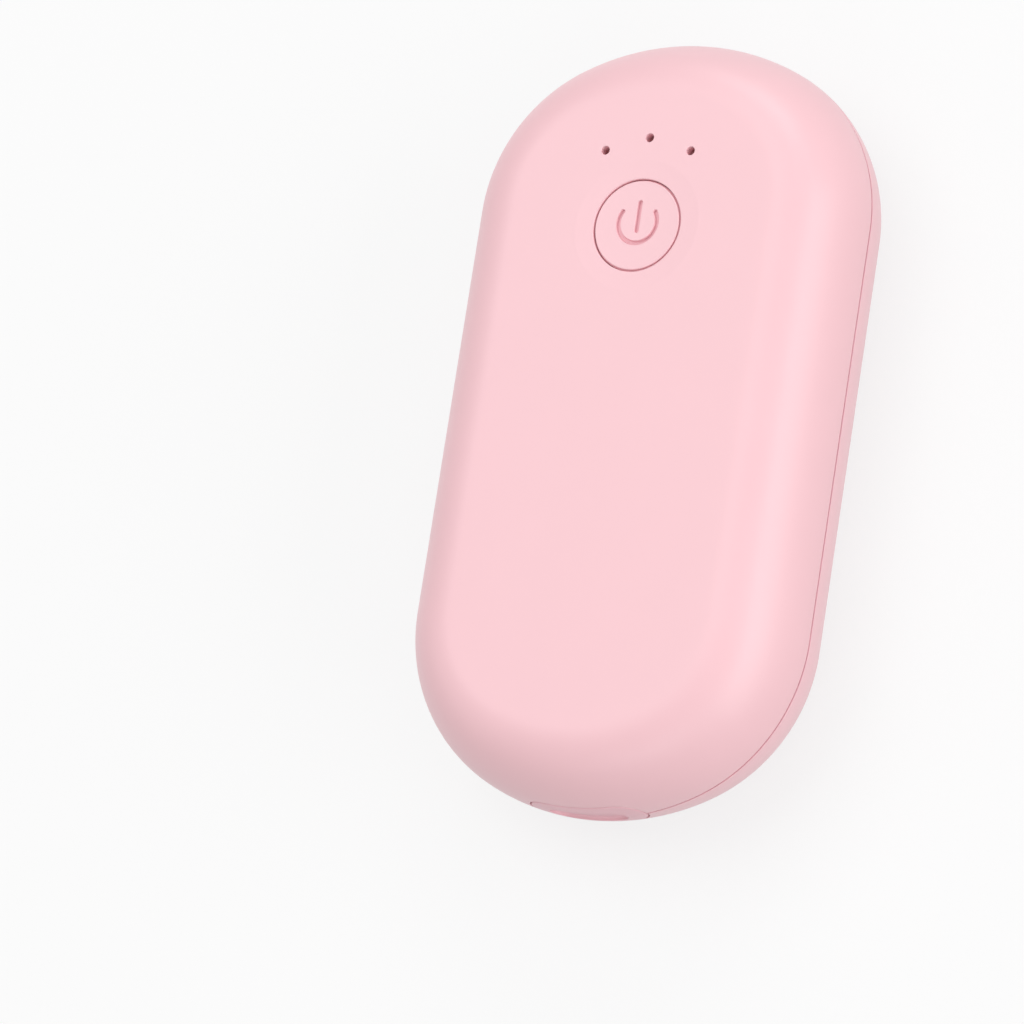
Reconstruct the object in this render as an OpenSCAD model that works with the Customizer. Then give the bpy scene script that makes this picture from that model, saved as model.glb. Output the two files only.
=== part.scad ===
// Rechargeable hand warmer, lying on its panel side with the button side up.
// +X is across, +Y points to the button end, the charging port is at the -Y end.
// The origin is at the middle of the face that it rests on.

/* [Body] */
// Width across the straight sides
body_w = 56; // [54:0.5:60]
// Length from end to end
body_l = 105; // [104:0.5:112]
// Thickness from face to face
body_t = 24; // [24:0.25:26]
// Length of each curved end
end_l = 24.8; // [24.4:0.1:26]
// Radius of the shoulders beside the flatter tip of each end
shoulder_r = 23.8; // [22.5:0.1:24]
// How far the rounded edge runs in from the outline
edge_run = 9.5; // [9:0.1:10.5]
// Radius of the edge where it meets the flat face
edge_r = 8; // [7:0.1:8.4]
// Wall of both shells
wall = 1.8; // [1.6:0.1:2]

/* [Parting line] */
// Width of the fine groove between the shells
groove_w = 0.3; // [0.2:0.05:0.5]
// Depth of the fine groove
groove_d = 0.25; // [0.15:0.05:0.4]
// Height of the tongue on the panel side shell
tongue_h = 1.0; // [0.8:0.1:1.6]
// Thickness of the tongue
tongue_t = 0.7; // [0.5:0.05:0.8]
// Clearance round the tongue
tongue_gap = 0.1; // [0.05:0.05:0.15]

/* [Face panel] */
// Distance from the body's sides to the panel
panel_side = 7.4; // [7:0.1:8]
// Distance from the button end to the panel
panel_top = 7.2; // [7:0.1:8]
// Distance from the port end to the panel
panel_bottom = 14.2; // [13.8:0.1:15]
// Length of the panel's curved ends
panel_end_l = 19.4; // [18.6:0.1:20]
// Radius of the panel's shoulders
panel_shoulder_r = 17.2; // [16.5:0.1:17.6]
// Thickness of the panel
panel_t = 1.2; // [1:0.1:1.5]
// Gap all round the panel
panel_gap = 0.25; // [0.15:0.05:0.4]
// Thickness of the tape that holds the panel
tape_t = 0.15; // [0.1:0.05:0.25]
// Floor under the panel's pocket
floor_t = 1.4; // [1.2:0.1:1.5]
// Rim of that floor under the cell's sides, beside the heating window
window_side = 4; // [3:0.5:6]
// Rim of that floor under the cell's ends
window_end = 3; // [2.5:0.5:6]

/* [Button] */
// Distance from the button end to the middle of the button
button_from_end = 28; // [27:0.5:29]
// Radius of the button's cap
button_r = 6.1; // [5.6:0.1:6.4]
// Gap round the cap
button_gap = 0.25; // [0.15:0.05:0.35]
// Travel of the button
button_travel = 0.4; // [0.2:0.05:0.45]
// Radius of the shallow finger dish round the button
dish_r = 9; // [8:0.5:10]
// Depth of the dish
dish_d = 0.25; // [0.15:0.05:0.35]
// Radius of the power sign's ring, to the middle of its stroke
sign_r = 2.75; // [2.4:0.05:3.2]
// Width of the power sign's stroke
sign_stroke = 0.5; // [0.4:0.05:0.7]
// Depth of the engraving
sign_d = 0.3; // [0.2:0.05:0.4]

/* [Indicators] */
// Distance of the three holes from the middle of the button
light_r = 12; // [11.5:0.25:12.5]
// Turn from one hole to the next
light_turn = 31.5; // [29:0.5:33]
// Radius of a hole
light_hole_r = 0.6; // [0.5:0.05:0.75]
// How deep the light guide's tips lie under the surface
light_depth = 1.3; // [1:0.1:1.5]

/* [Port] */
// Width of the port cover
cover_w = 16.4; // [15.5:0.1:17.5]
// Height of the port cover
cover_h = 7.2; // [6.6:0.1:7.8]
// Thickness of the port cover
cover_t = 1.25; // [1.1:0.05:1.35]
// Gap all round the port cover
cover_gap = 0.18; // [0.15:0.01:0.25]
// Gap under the port cover
cover_under_gap = 0.15; // [0.12:0.01:0.2]
// Width of the fingernail scoop
scoop_w = 11; // [9:0.5:12]
// Height of the fingernail scoop
scoop_h = 3.9; // [3:0.1:4.4]
// Depth of the fingernail scoop
scoop_d = 0.6; // [0.4:0.05:0.7]
// Width of the socket
socket_w = 8.94; // [8.94:0.02:9.1]
// Height of the socket
socket_h = 3.26; // [3.2:0.02:3.4]
// Depth of the socket
socket_l = 7.3; // [6.5:0.1:7.5]

/* [Battery] */
// Distance from the body's sides to the cell
battery_side = 9; // [9:0.1:10.5]
// Thickness of the insulation between the panel's heater film and the cell
pad_t = 2.2; // [2:0.1:2.4]
// Thickness of the foam over the cell
foam_t = 0.8; // [0.5:0.1:0.9]
// Room over the mid frame's deck, up to the button side's face
top_room = 8.6; // [8.5:0.1:9.2]

/* [Boards] */
// Thickness of the circuit boards
board_t = 1.0; // [0.8:0.1:1.2]
// Thickness of the mid frame's deck
deck_t = 1.0; // [0.8:0.1:1.1]
// Height of the main board over the deck
standoff = 0.8; // [0.5:0.1:0.9]
// Thickness of the heater films
film_t = 0.2; // [0.1:0.05:0.3]
// Thickness of the heat spreader
spreader_t = 0.5; // [0.3:0.1:0.7]

/* [Screws] */
// Radius of the case screws
case_screw_r = 1.0; // [0.9:0.05:1.15]
// Length of the case screws under the head
case_screw_l = 10; // [9:0.5:11]
// Radius of the board screws
board_screw_r = 0.8; // [0.7:0.05:0.85]
// Length of the board screws under the head
board_screw_l = 3.6; // [3:0.1:4]

/* [Hidden] */

$fn = 96;
shell_pink = "#f4c3cb";
button_pink = "#f6c8d0";
cover_pink = "#efb9c3";
frame_white = "#e9e6e1";
board_green = "#1f6b45";
steel = "#b9bcc0";
dark_plastic = "#25272a";
white_plastic = "#efeee9";
clear_plastic = "#f3e9ea";
foam_grey = "#6d7074";
film_amber = "#c98a2b";
cell_silver = "#c9ccd1";
copper = "#c07a3a";

// Small overshoot of the cuts
e = 0.01;
cut = 5;

// Levels, from the rest face up
mid_z = body_t / 2;
inner_top_z = body_t - wall;
pocket_z = panel_t + tape_t;
floor_z = pocket_z + floor_t;
battery_z = panel_t + film_t + pad_t;
deck_z = body_t - top_room - deck_t;
battery_t = deck_z - foam_t - battery_z;
board_z = deck_z + deck_t + standoff;
board_top = board_z + board_t;
spreader_z = inner_top_z - spreader_t;
top_film_z = spreader_z - film_t;

// Outlines: the tip's radius and the turn of the shoulder arc follow from the other sizes
function tip_r(w, end, r) = (pow(w / 2 - r, 2) + end * end - r * r) / (2 * (end - r));
function shoulder_turn(w, end, r) = atan2(tip_r(w, end, r) - end, w / 2 - r);
body_tip_r = tip_r(body_w, end_l, shoulder_r);
body_turn = shoulder_turn(body_w, end_l, shoulder_r);
straight_y = body_l / 2 - end_l;
tip_y = body_l / 2 - body_tip_r;
shoulder_x = body_w / 2 - shoulder_r;

// Edge section: a side arc meets the edge arc, which meets the flat face
core_inset = 14;
side_r = (pow(edge_run, 2) + pow(mid_z - edge_r, 2) - pow(edge_r, 2)) / (2 * (edge_run - edge_r));
side_turn = atan2(mid_z - edge_r, side_r - edge_run);

// Face panel
panel_w = body_w - 2 * panel_side;
panel_l = body_l - panel_top - panel_bottom;
panel_y = (panel_bottom - panel_top) / 2;
panel_bottom_y = -body_l / 2 + panel_bottom;
panel_top_y = body_l / 2 - panel_top;
ledge_rim = 0.8;
slab_rim = 1.5;
slab_z = 1.1;

// Button, from the outside in
button_y = body_l / 2 - button_from_end;
dish_sphere_r = (pow(dish_r, 2) + pow(dish_d, 2)) / (2 * dish_d);
flange_r = button_r + 1.1;
flange_t = 0.8;
flange_gap = 0.08;
flange_top_z = inner_top_z - flange_gap;
flange_z = flange_top_z - flange_t;
guide_gap = 0.35;
guide_t = 0.8;
guide_h = 1.6;
stem_r = 1.5;
sign_rise = 0.4;
sign_open = 58;
sign_bar_top = 2.75;
sign_bar_bottom = -1.1;

// Switch
switch_w = 6;
switch_h = 2.2;
switch_plate_t = 0.2;
plunger_r = 1.7;
plunger_gap = 0.08;
plunger_out = 0.65;
plunger_in = 0.6;
plunger_room = button_travel + 0.2;
plunger_top_z = board_top + switch_h + switch_plate_t + plunger_out;

// Indicators
light_angles = [90 - light_turn, 90, 90 + light_turn];
guide_tip_gap = 0.08;
guide_column_r = 1.0;
guide_plate_r = 1.7;
guide_plate_t = 1.0;
guide_plate_gap = 0.1;
guide_plate_top = inner_top_z - guide_plate_gap;
light_size = [1.6, 0.8, 0.6];
light_air = 0.4;
shroud_t = 0.9;
shroud_gap = 0.3;
shroud_top_gap = 0.1;
shroud_bar_w = 1.6;
light_case_r = guide_column_r + shroud_gap + shroud_t;

// Port, all centred on the parting plane
recess_t = cover_t + cover_under_gap;
block_side = 2.2;
block_over = 1.7;
block_depth = 4.3;
block_w = cover_w + 2 * block_side;
block_h = cover_h + 2 * block_over;
block_y = -body_l / 2 + block_depth;
aperture_gap = 0.3;
socket_set_back = 2.3;
socket_front_y = -body_l / 2 + socket_set_back;
socket_wall = 0.3;
socket_z = mid_z - socket_h / 2;
insert_back = 1.6;
tongue_back = 0.8;
tongue_size = [6.7, 0.7];
contact_back = 1.2;
contact_pitch = 0.5;
contact_size = [0.25, 3.6, 0.05];
plug_gap = 0.4;
plug_l = 0.75;
tether_from_socket = 1.6;
tether_x = socket_w / 2 + aperture_gap + tether_from_socket;
tether_w = 1.2;
tether_h = 2.0;
tether_gap = 0.15;
foot_w = 2.4;
foot_h = 4.0;
foot_t = 1.2;
foot_gap = 0.05;
foot_notch_gap = 0.2;

// Screws and posts
case_post_r = 3.2;
case_boss_r = 2.6;
case_screw_clear = 0.3;
top_screw_x = light_r * sin(light_turn) + light_case_r + case_boss_r + case_screw_clear;
top_screw_from_end = 7.8;
low_screw_from_end = 5.3;
top_screw_y = panel_top_y - top_screw_from_end;
low_screw_x = 9;
low_screw_y = panel_bottom_y + low_screw_from_end;
case_screws_at = [
  [-top_screw_x, top_screw_y],
  [top_screw_x, top_screw_y],
  [-low_screw_x, low_screw_y],
  [low_screw_x, low_screw_y]
];
post_gap = 0.4;
meet_z = 10;
seat_z = 6;
head_r = 1.9;
head_h = 1.5;
head_room = 0.2;
shank_gap = 0.15;
thread_gap = 0.03;
thread_room = 0.5;

// Battery and mid frame, between the posts
battery_w = body_w - 2 * battery_side;
battery_side_gap = 0.3;
frame_wall = 1.0;
protection_l = 4.5;
bay_w = battery_w + 2 * battery_side_gap;
bay_y0 = low_screw_y + case_post_r + post_gap + frame_wall;
bay_y1 = top_screw_y - case_post_r - post_gap - frame_wall;
battery_l = bay_y1 - bay_y0 - 2 * battery_side_gap - protection_l;
battery_y = bay_y0 + battery_side_gap + battery_l / 2;
battery_top_y = battery_y + battery_l / 2;
window_w = battery_w - 2 * window_side;
window_l = battery_l - 2 * window_end;
frame_inset = 4.6;
deck_end = 2.0;
board_end = 0.8;
board_edge_gap = 0.1;
deck_y0 = bay_y0 - deck_end;
board_y0 = deck_y0 + board_end;
protection_end = 0.5;
protection_free_end = 7.5;
protection_size = [battery_w - protection_end - protection_free_end, 3.2, 0.8];
protection_shift = (protection_end - protection_free_end) / 2;
protection_chip = [3, 2.2, 0.9];
protection_y = battery_top_y + 0.6;
protection_z = battery_z + battery_t / 2 + 0.3;
tab_size = [4, 3.2, 0.15];
tab_x = 9;
flap_t = 0.3;
flap_inset = 2;
cell_corner = 2.4;
foam_w = 8;
foam_inset = 4;

// Main board's screws, in bosses beside the battery bay
board_screw_x = battery_w / 2 + battery_side_gap + frame_wall + 1.3;
board_screw_top_y = 18;
board_screw_low_y = -20;
board_screws_at = [
  [-board_screw_x, board_screw_top_y],
  [board_screw_x, board_screw_top_y],
  [-board_screw_x, board_screw_low_y],
  [board_screw_x, board_screw_low_y]
];
board_boss_r = 1.7;
board_boss_h = 4.2;
board_head_r = 1.4;
board_head_h = 1.0;
board_screw_room = 0.2;

// Heater plate under the button side, clear of the button's guide and of the screw posts
spreader_w = battery_w - 3;
spreader_gap = 1.2;
spreader_y0 = low_screw_y + case_boss_r + spreader_gap;
spreader_y1 = button_y - flange_r - guide_gap - guide_t - spreader_gap;
film_inset = 0.5;
window_gap = 0.6;
pad_inset = 2.4;

// Charging socket's board
usb_board_z = socket_z - board_t;
usb_board_w = 20;
usb_board_l = 11;
usb_board_gap = 0.2;
usb_board_y0 = block_y + usb_board_gap;
usb_board_y1 = usb_board_y0 + usb_board_l;
usb_screw_x = 7.5;
usb_screw_y = usb_board_y1 - 3.5;
usb_screws_at = [[-usb_screw_x, usb_screw_y], [usb_screw_x, usb_screw_y]];
usb_post_r = 2.0;

// Wires
wire_r = 0.45;
bead_r = 0.49;
wire_pitch = 2.4;
slot_w = 5.4;
slot_l = 2.4;
wire_over_board = 1.6;
wire_z = board_top + wire_over_board;
connector_size = [6, 4.5, 3.2];
connector_inset = 12;
connector_x = body_w / 2 - connector_inset;
battery_lead_l = 4.05;
top_connector_at = [-connector_x, -8];
panel_connector_at = [connector_x, -5];
top_lead_run = [-22, -13.5];
panel_lead_inset = 1.6;
battery_slot_at = [-connector_x, protection_y + protection_size[1] / 2];
battery_connector_at = [-connector_x, battery_slot_at[1] - battery_lead_l - connector_size[1] / 2];
side_wire_x = board_screw_x - 0.2;
side_wires_y = [-6.2, -3.8];
notch_l = 4.4;
notch_w = 1.1;

// Link cable
link_w = 6;
link_t = 0.15;
link_connector = [8, 2.5, 1.3];
link_bend_r = 0.8;
link_up_gap = 2.4;
link_entry = 0.3;
link_over_board = 0.65;
link_up_y = usb_board_y1 + link_up_gap;
link_low_z = usb_board_z + board_t + link_over_board;
link_high_z = board_top + link_over_board;

// Pieces on the main board: place and size of each
inductor_at = [-7, 6];
inductor_size = [7, 7, 3];
inductor_core_r = 2.4;
controller_at = [8, 8];
controller_size = [4, 9.9, 1.5];
controller_legs = 8;
power_chip_size = [3.9, 4.9, 1.4];
power_chip_legs = 4;
power_chips_at = [[-2, -12], [9, -16]];
leg_pitch = 1.2;
leg_size = [1.0, 0.4, 0.5];
capacitor_size = [1.2, 2, 1.2];
capacitors_at = [[-8, -3], [-5.6, -3], [-3.2, -3], [-0.8, -3], [14.5, 12], [16.5, 12], [18.5, 12]];
output_capacitor_at = [-7, 12.8];
output_capacitor_size = [3.2, 1.8, 1.6];
resistor_size = [0.8, 1.6, 0.5];
resistors_at = [
  [1, -8.5], [2.6, -8.5], [4.2, -8.5], [5.8, -8.5], [7.4, -8.5],
  [-14, 14], [-12, 14], [-10, 14]
];
thermistor_at = [6, -5];
thermistor_r = 0.9;
thermistor_leg_r = 0.2;
thermistor_leg_x = 0.5;

// 2D outline with straight sides, shoulder arcs and flatter tip arcs
module outline(w, l, end, r) {
  tr = tip_r(w, end, r);
  turn = shoulder_turn(w, end, r);
  far = 1.3 * tr;
  square([w, l - 2 * end], center = true);
  for (s = [-1, 1]) {
    for (x = [-1, 1])
      translate([x * (w / 2 - r), s * (l / 2 - end)])
        circle(r);
    intersection() {
      translate([0, s * (l / 2 - tr)])
        circle(tr);
      polygon([
        [0, s * (l / 2 - tr)],
        [far * cos(turn), s * (l / 2 - tr + far * sin(turn))],
        [far * cos(turn), s * (l / 2 + tr)],
        [-far * cos(turn), s * (l / 2 + tr)],
        [-far * cos(turn), s * (l / 2 - tr + far * sin(turn))]
      ]);
    }
  }
}

module body_outline(inset = 0) {
  outline(body_w - 2 * inset, body_l - 2 * inset, end_l - inset, shoulder_r - inset);
}

module panel_outline(inset = 0) {
  translate([0, panel_y])
    outline(panel_w - 2 * inset, panel_l - 2 * inset, panel_end_l - inset, panel_shoulder_r - inset);
}

// Edge section beside the outline, over the parting plane: the outline is at x = 0 and the body at
// x < 0, with the surface t under the body's own. It ends where the flat core takes over.
module edge_section(t = 0) {
  top_y = mid_z - edge_r;
  out = 2 * side_r;
  intersection() {
    translate([-side_r, 0])
      circle(side_r - t);
    union() {
      translate([-edge_run, top_y])
        circle(edge_r - t);
      polygon([
        [-out, 0],
        [out, 0],
        [out * cos(side_turn) - side_r, out * sin(side_turn)],
        [-edge_run, top_y],
        [-edge_run, mid_z - t],
        [-out, mid_z - t]
      ]);
    }
    translate([-core_inset, 0])
      square([core_inset + 1, mid_z]);
  }
}

// Sweeps a section round the body's outline, in the parting plane's frame
module round_body() {
  for (x = [0, 1])
    mirror([x, 0, 0])
      translate([body_w / 2, 0, 0])
        rotate([90, 0, 0])
          linear_extrude(2 * straight_y, center = true)
            children();
  for (c = [[1, 1, 0], [-1, 1, 180 - body_turn], [-1, -1, 180], [1, -1, 360 - body_turn]])
    translate([c[0] * shoulder_x, c[1] * straight_y, 0])
      rotate_extrude(angle = body_turn, start = c[2])
        translate([shoulder_r, 0])
          children();
  for (s = [0, 1])
    translate([0, (1 - 2 * s) * tip_y, 0])
      rotate_extrude(angle = 180 - 2 * body_turn, start = 180 * s + body_turn)
        translate([body_tip_r, 0])
          children();
}

// The port end alone, with its surface t under the body's own
module tip_sector(t) {
  translate([0, -tip_y, mid_z])
    rotate_extrude(angle = 180 - 2 * body_turn, start = 180 + body_turn)
      translate([body_tip_r, 0]) {
        edge_section(t);
        mirror([0, 1])
          edge_section(t);
      }
}

// Upper half of the body, solid
module half_body() {
  round_body()
    edge_section();
  linear_extrude(mid_z)
    body_outline(core_inset);
}

// Upper half of the body as a shell, open at the parting plane
module half_shell() {
  round_body()
    difference() {
      edge_section();
      edge_section(wall);
      translate([-groove_d, 0])
        square([2 * groove_d, groove_w / 2]);
      children();
    }
  translate([0, 0, mid_z - wall])
    linear_extrude(wall)
      body_outline(core_inset);
}

// Oblong with round ends, w by h, lying across X and standing on Z, from y0 to y1
module oblong_y(w, h, y0, y1) {
  translate([0, y1, mid_z])
    rotate([90, 0, 0])
      linear_extrude(y1 - y0) {
        square([w - h, h], center = true);
        for (s = [-1, 1])
          translate([s * (w - h) / 2, 0])
            circle(h / 2);
      }
}

// Oblong hollow for the port cover, whose floor follows the body's surface
module port_recess() {
  difference() {
    oblong_y(cover_w + 2 * cover_gap, cover_h + 2 * cover_gap, -body_l / 2 - 1, -body_l / 2 + 6);
    tip_sector(recess_t);
  }
}

module port_block() {
  intersection() {
    tip_sector(wall / 2);
    translate([-block_w / 2, -body_l / 2 - 1, mid_z - block_h / 2])
      cube([block_w, block_y + body_l / 2 + 1, block_h]);
  }
}

module port_cuts() {
  port_recess();
  oblong_y(socket_w + 2 * aperture_gap, socket_h + 2 * aperture_gap, -body_l / 2 - 1, block_y + 1);
  translate([tether_x - tether_w / 2 - tether_gap, -body_l / 2 - 1, mid_z - tether_h / 2 - tether_gap])
    cube([tether_w + 2 * tether_gap, block_y + body_l / 2 + 2, tether_h + 2 * tether_gap]);
}

// Space over the shallow finger dish: a cap of a large sphere, with a flat top over the body
module dish() {
  translate([0, button_y, body_t - dish_d])
    rotate_extrude()
      intersection() {
        translate([0, dish_sphere_r])
          circle(dish_sphere_r, $fn = 360);
        square([2 * dish_r, 1]);
      }
}

module panel_side_shell() {
  color(shell_pink)
    difference() {
      union() {
        translate([0, 0, mid_z])
          mirror([0, 0, 1])
            half_shell();
        translate([0, 0, slab_z])
          linear_extrude(floor_z - slab_z)
            panel_outline(-slab_rim);
        translate([0, 0, mid_z - wall])
          linear_extrude(wall + tongue_h)
            difference() {
              body_outline(wall - tongue_t);
              body_outline(wall);
            }
        intersection() {
          port_block();
          translate([-block_w, -body_l, 0])
            cube([2 * block_w, body_l, mid_z]);
        }
        for (p = case_screws_at)
          translate([p[0], p[1], slab_z])
            cylinder(r = case_post_r, h = meet_z - slab_z);
        for (p = usb_screws_at)
          translate([p[0], p[1], wall / 2])
            cylinder(r = usb_post_r, h = usb_board_z - wall / 2);
      }
      translate([0, 0, -1])
        linear_extrude(1 + pocket_z)
          panel_outline(0);
      translate([-window_w / 2, battery_y - window_l / 2, 0])
        cube([window_w, window_l, floor_z + 1]);
      translate([0, side_wires_y[0] - wire_pitch / 4, pocket_z])
        cube([side_wire_x + wire_r, wire_pitch + wire_pitch / 2, floor_t + 1]);
      for (p = case_screws_at)
        translate([p[0], p[1], 0]) {
          cylinder(r = head_r + head_room, h = seat_z);
          cylinder(r = case_screw_r + shank_gap, h = meet_z + 1);
        }
      for (p = usb_screws_at)
        translate([p[0], p[1], usb_board_z - board_screw_l])
          cylinder(r = board_screw_r + thread_gap, h = board_screw_l + 1);
      port_cuts();
    }
}

module button_side_shell() {
  color(shell_pink)
    difference() {
      union() {
        translate([0, 0, mid_z])
          half_shell()
            translate([-wall - 1, -1])
              square([1 + tongue_t + tongue_gap, 1 + tongue_h + tongue_gap]);
        intersection() {
          port_block();
          translate([-block_w, -body_l, mid_z])
            cube([2 * block_w, body_l, mid_z]);
        }
        for (p = case_screws_at)
          translate([p[0], p[1], meet_z])
            cylinder(r = case_boss_r, h = inner_top_z + wall / 2 - meet_z);
        translate([0, button_y, inner_top_z - guide_h])
          cylinder(r = flange_r + guide_gap + guide_t, h = guide_h + wall / 2);
      }
      translate([0, button_y, inner_top_z - guide_h - 1])
        cylinder(r = flange_r + guide_gap, h = guide_h + 1);
      translate([0, button_y, inner_top_z - 1])
        cylinder(r = button_r + button_gap, h = wall + 2);
      dish();
      for (a = light_angles)
        translate([light_r * cos(a), button_y + light_r * sin(a), inner_top_z - 1])
          cylinder(r = light_hole_r, h = wall + 2);
      for (p = case_screws_at)
        translate([p[0], p[1], meet_z - 1])
          cylinder(r = case_screw_r + thread_gap, h = case_screw_l + seat_z - meet_z + 1 + thread_room);
      port_cuts();
    }
}

module face_panel() {
  color(shell_pink)
    intersection() {
      linear_extrude(panel_t)
        panel_outline(panel_gap);
      translate([0, 0, mid_z])
        mirror([0, 0, 1])
          half_body();
    }
}

module panel_tape() {
  color(foam_grey)
    translate([0, 0, panel_t])
      linear_extrude(tape_t)
        difference() {
          panel_outline(panel_gap + ledge_rim);
          translate([0, battery_y])
            square([window_w, window_l], center = true);
          for (p = case_screws_at)
            translate(p)
              circle(head_r + head_room);
        }
}

// Power sign to engrave: an open ring and a bar
module power_sign() {
  translate([0, sign_rise, 0]) {
    rotate_extrude(angle = 360 - 2 * sign_open, start = 90 + sign_open)
      translate([sign_r - sign_stroke / 2, 0])
        square([sign_stroke, cut]);
    translate([-sign_stroke / 2, sign_bar_bottom, 0])
      cube([sign_stroke, sign_bar_top - sign_bar_bottom, cut]);
  }
}

module power_button() {
  color(button_pink)
    difference() {
      union() {
        translate([0, button_y, flange_z])
          cylinder(r = button_r, h = body_t - flange_z);
        translate([0, button_y, flange_z])
          cylinder(r = flange_r, h = flange_t);
        translate([0, button_y, plunger_top_z])
          cylinder(r = stem_r, h = flange_z - plunger_top_z + e);
      }
      dish();
      translate([0, button_y, body_t - dish_d - sign_d])
        power_sign();
    }
}

module port_cover() {
  color(cover_pink)
    difference() {
      union() {
        difference() {
          intersection() {
            oblong_y(cover_w, cover_h, -body_l / 2 - 1, -body_l / 2 + 6);
            tip_sector(0);
          }
          tip_sector(cover_t);
        }
        oblong_y(
          socket_w + 2 * aperture_gap - 2 * plug_gap,
          socket_h + 2 * aperture_gap - 2 * plug_gap,
          -body_l / 2 + cover_t / 2,
          -body_l / 2 + cover_t + plug_l
        );
      }
      difference() {
        oblong_y(scoop_w, scoop_h, -body_l / 2 - 1, -body_l / 2 + 6);
        tip_sector(scoop_d);
      }
    }
}

module cover_tether() {
  color(cover_pink) {
    intersection() {
      tip_sector(recess_t);
      translate([tether_x - tether_w / 2, -body_l / 2, mid_z - tether_h / 2])
        cube([tether_w, block_y + tether_gap + body_l / 2, tether_h]);
    }
    translate([tether_x - foot_w / 2, block_y + foot_gap, mid_z - foot_h / 2])
      cube([foot_w, foot_t, foot_h]);
  }
}

module light_spots(z) {
  for (a = light_angles)
    translate([light_r * cos(a), button_y + light_r * sin(a), z])
      children();
}

// Plan of rounds of radius r at the indicators, joined by bars w wide
module light_row(r, w) {
  for (a = light_angles)
    translate([light_r * cos(a), button_y + light_r * sin(a)])
      circle(r);
  for (s = [0, 1])
    translate([0, button_y])
      rotate(light_angles[s] + light_turn / 2 - 90)
        translate([0, light_r * cos(light_turn / 2)])
          square([2 * light_r * sin(light_turn / 2), w], center = true);
}

module light_guide() {
  color(clear_plastic) {
    translate([0, 0, guide_plate_top - guide_plate_t])
      linear_extrude(guide_plate_t)
        light_row(guide_plate_r, 2 * guide_column_r);
    light_spots(board_top + light_size[2] + light_air)
      cylinder(r = guide_column_r, h = guide_plate_top - board_top - light_size[2] - light_air - e);
    light_spots(guide_plate_top - e)
      cylinder(r = light_hole_r - guide_tip_gap, h = body_t - light_depth - guide_plate_top);
  }
}

module light_shroud() {
  color(dark_plastic)
    translate([0, 0, board_top])
      linear_extrude(guide_plate_top - guide_plate_t - shroud_top_gap - board_top)
        difference() {
          light_row(light_case_r, shroud_bar_w);
          for (a = light_angles)
            translate([light_r * cos(a), button_y + light_r * sin(a)])
              circle(guide_column_r + shroud_gap);
        }
}

module at_board_screws(z) {
  for (p = board_screws_at)
    translate([p[0], p[1], z])
      children();
}

module mid_frame() {
  color(frame_white)
    difference() {
      union() {
        translate([0, 0, deck_z])
          linear_extrude(deck_t)
            intersection() {
              body_outline(frame_inset);
              translate([-body_w / 2, deck_y0])
                square([body_w, body_l]);
            }
        translate([-bay_w / 2 - frame_wall, bay_y0 - frame_wall, floor_z])
          cube([bay_w + 2 * frame_wall, bay_y1 - bay_y0 + 2 * frame_wall, deck_z - floor_z + e]);
        at_board_screws(deck_z + deck_t - board_boss_h)
          cylinder(r = board_boss_r, h = board_boss_h + standoff);
      }
      translate([-bay_w / 2, bay_y0, floor_z - 1])
        cube([bay_w, bay_y1 - bay_y0, deck_z - floor_z + 1]);
      for (p = case_screws_at)
        translate([p[0], p[1], floor_z])
          cylinder(r = case_boss_r + post_gap, h = body_t);
      at_board_screws(board_top - board_screw_l - board_screw_room)
        cylinder(r = board_screw_r + thread_gap, h = board_screw_l + 1);
      wire_slots(deck_z - 1, deck_t + 2);
    }
}

module wire_slots(z, h) {
  translate([battery_slot_at[0] - slot_w / 2, battery_slot_at[1] - slot_l / 2, z])
    cube([slot_w, slot_l, h]);
  translate([side_wire_x - notch_w, side_wires_y[0] - 1, z])
    cube([2 * notch_w + cut, notch_l, h]);
}

module screw(r, l, hr, hh) {
  difference() {
    union() {
      cylinder(r = r, h = l);
      translate([0, 0, -hh])
        cylinder(r = hr, h = hh);
    }
    for (a = [0, 90])
      rotate(a)
        translate([-0.75 * hr, -0.12 * hr, -hh - 1])
          cube([1.5 * hr, 0.24 * hr, 1 + hh / 2]);
  }
}

module case_screws() {
  color(steel)
    for (p = case_screws_at)
      translate([p[0], p[1], seat_z])
        screw(case_screw_r, case_screw_l, head_r, head_h);
}

module board_screws() {
  color(steel) {
    at_board_screws(board_top)
      mirror([0, 0, 1])
        screw(board_screw_r, board_screw_l, board_head_r, board_head_h);
    for (p = usb_screws_at)
      translate([p[0], p[1], usb_board_z + board_t])
        mirror([0, 0, 1])
          screw(board_screw_r, board_screw_l, board_head_r, board_head_h);
  }
}

// Pouch cell with rounded long edges and a sealed flap at the tab end
module battery_cell() {
  color(cell_silver) {
    translate([0, battery_top_y, battery_z + battery_t / 2])
      rotate([90, 0, 0])
        linear_extrude(battery_l) {
          square([battery_w - 2 * cell_corner, battery_t], center = true);
          square([battery_w, battery_t - 2 * cell_corner], center = true);
          for (x = [-1, 1], z = [-1, 1])
            translate([x * (battery_w / 2 - cell_corner), z * (battery_t / 2 - cell_corner)])
              circle(cell_corner);
        }
    translate([flap_inset - battery_w / 2, battery_top_y - e, battery_z + (battery_t - flap_t) / 2])
      cube([
        battery_w - 2 * flap_inset,
        protection_y + protection_size[1] - battery_top_y - flap_t + e,
        flap_t
      ]);
  }
}

module battery_tabs() {
  color(steel)
    for (s = [-1, 1])
      translate([
        s * tab_x - tab_size[0] / 2,
        protection_y - foam_t / 2,
        battery_z + (battery_t + flap_t) / 2
      ])
        cube(tab_size);
}

module protection_board() {
  color(board_green) {
    translate([protection_shift - protection_size[0] / 2, protection_y, protection_z])
      cube(protection_size);
    for (s = [-1, 1])
      translate([s * 4 - protection_chip[0] / 2, protection_y + 0.5, protection_z + protection_size[2]])
        cube(protection_chip);
  }
}

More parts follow.
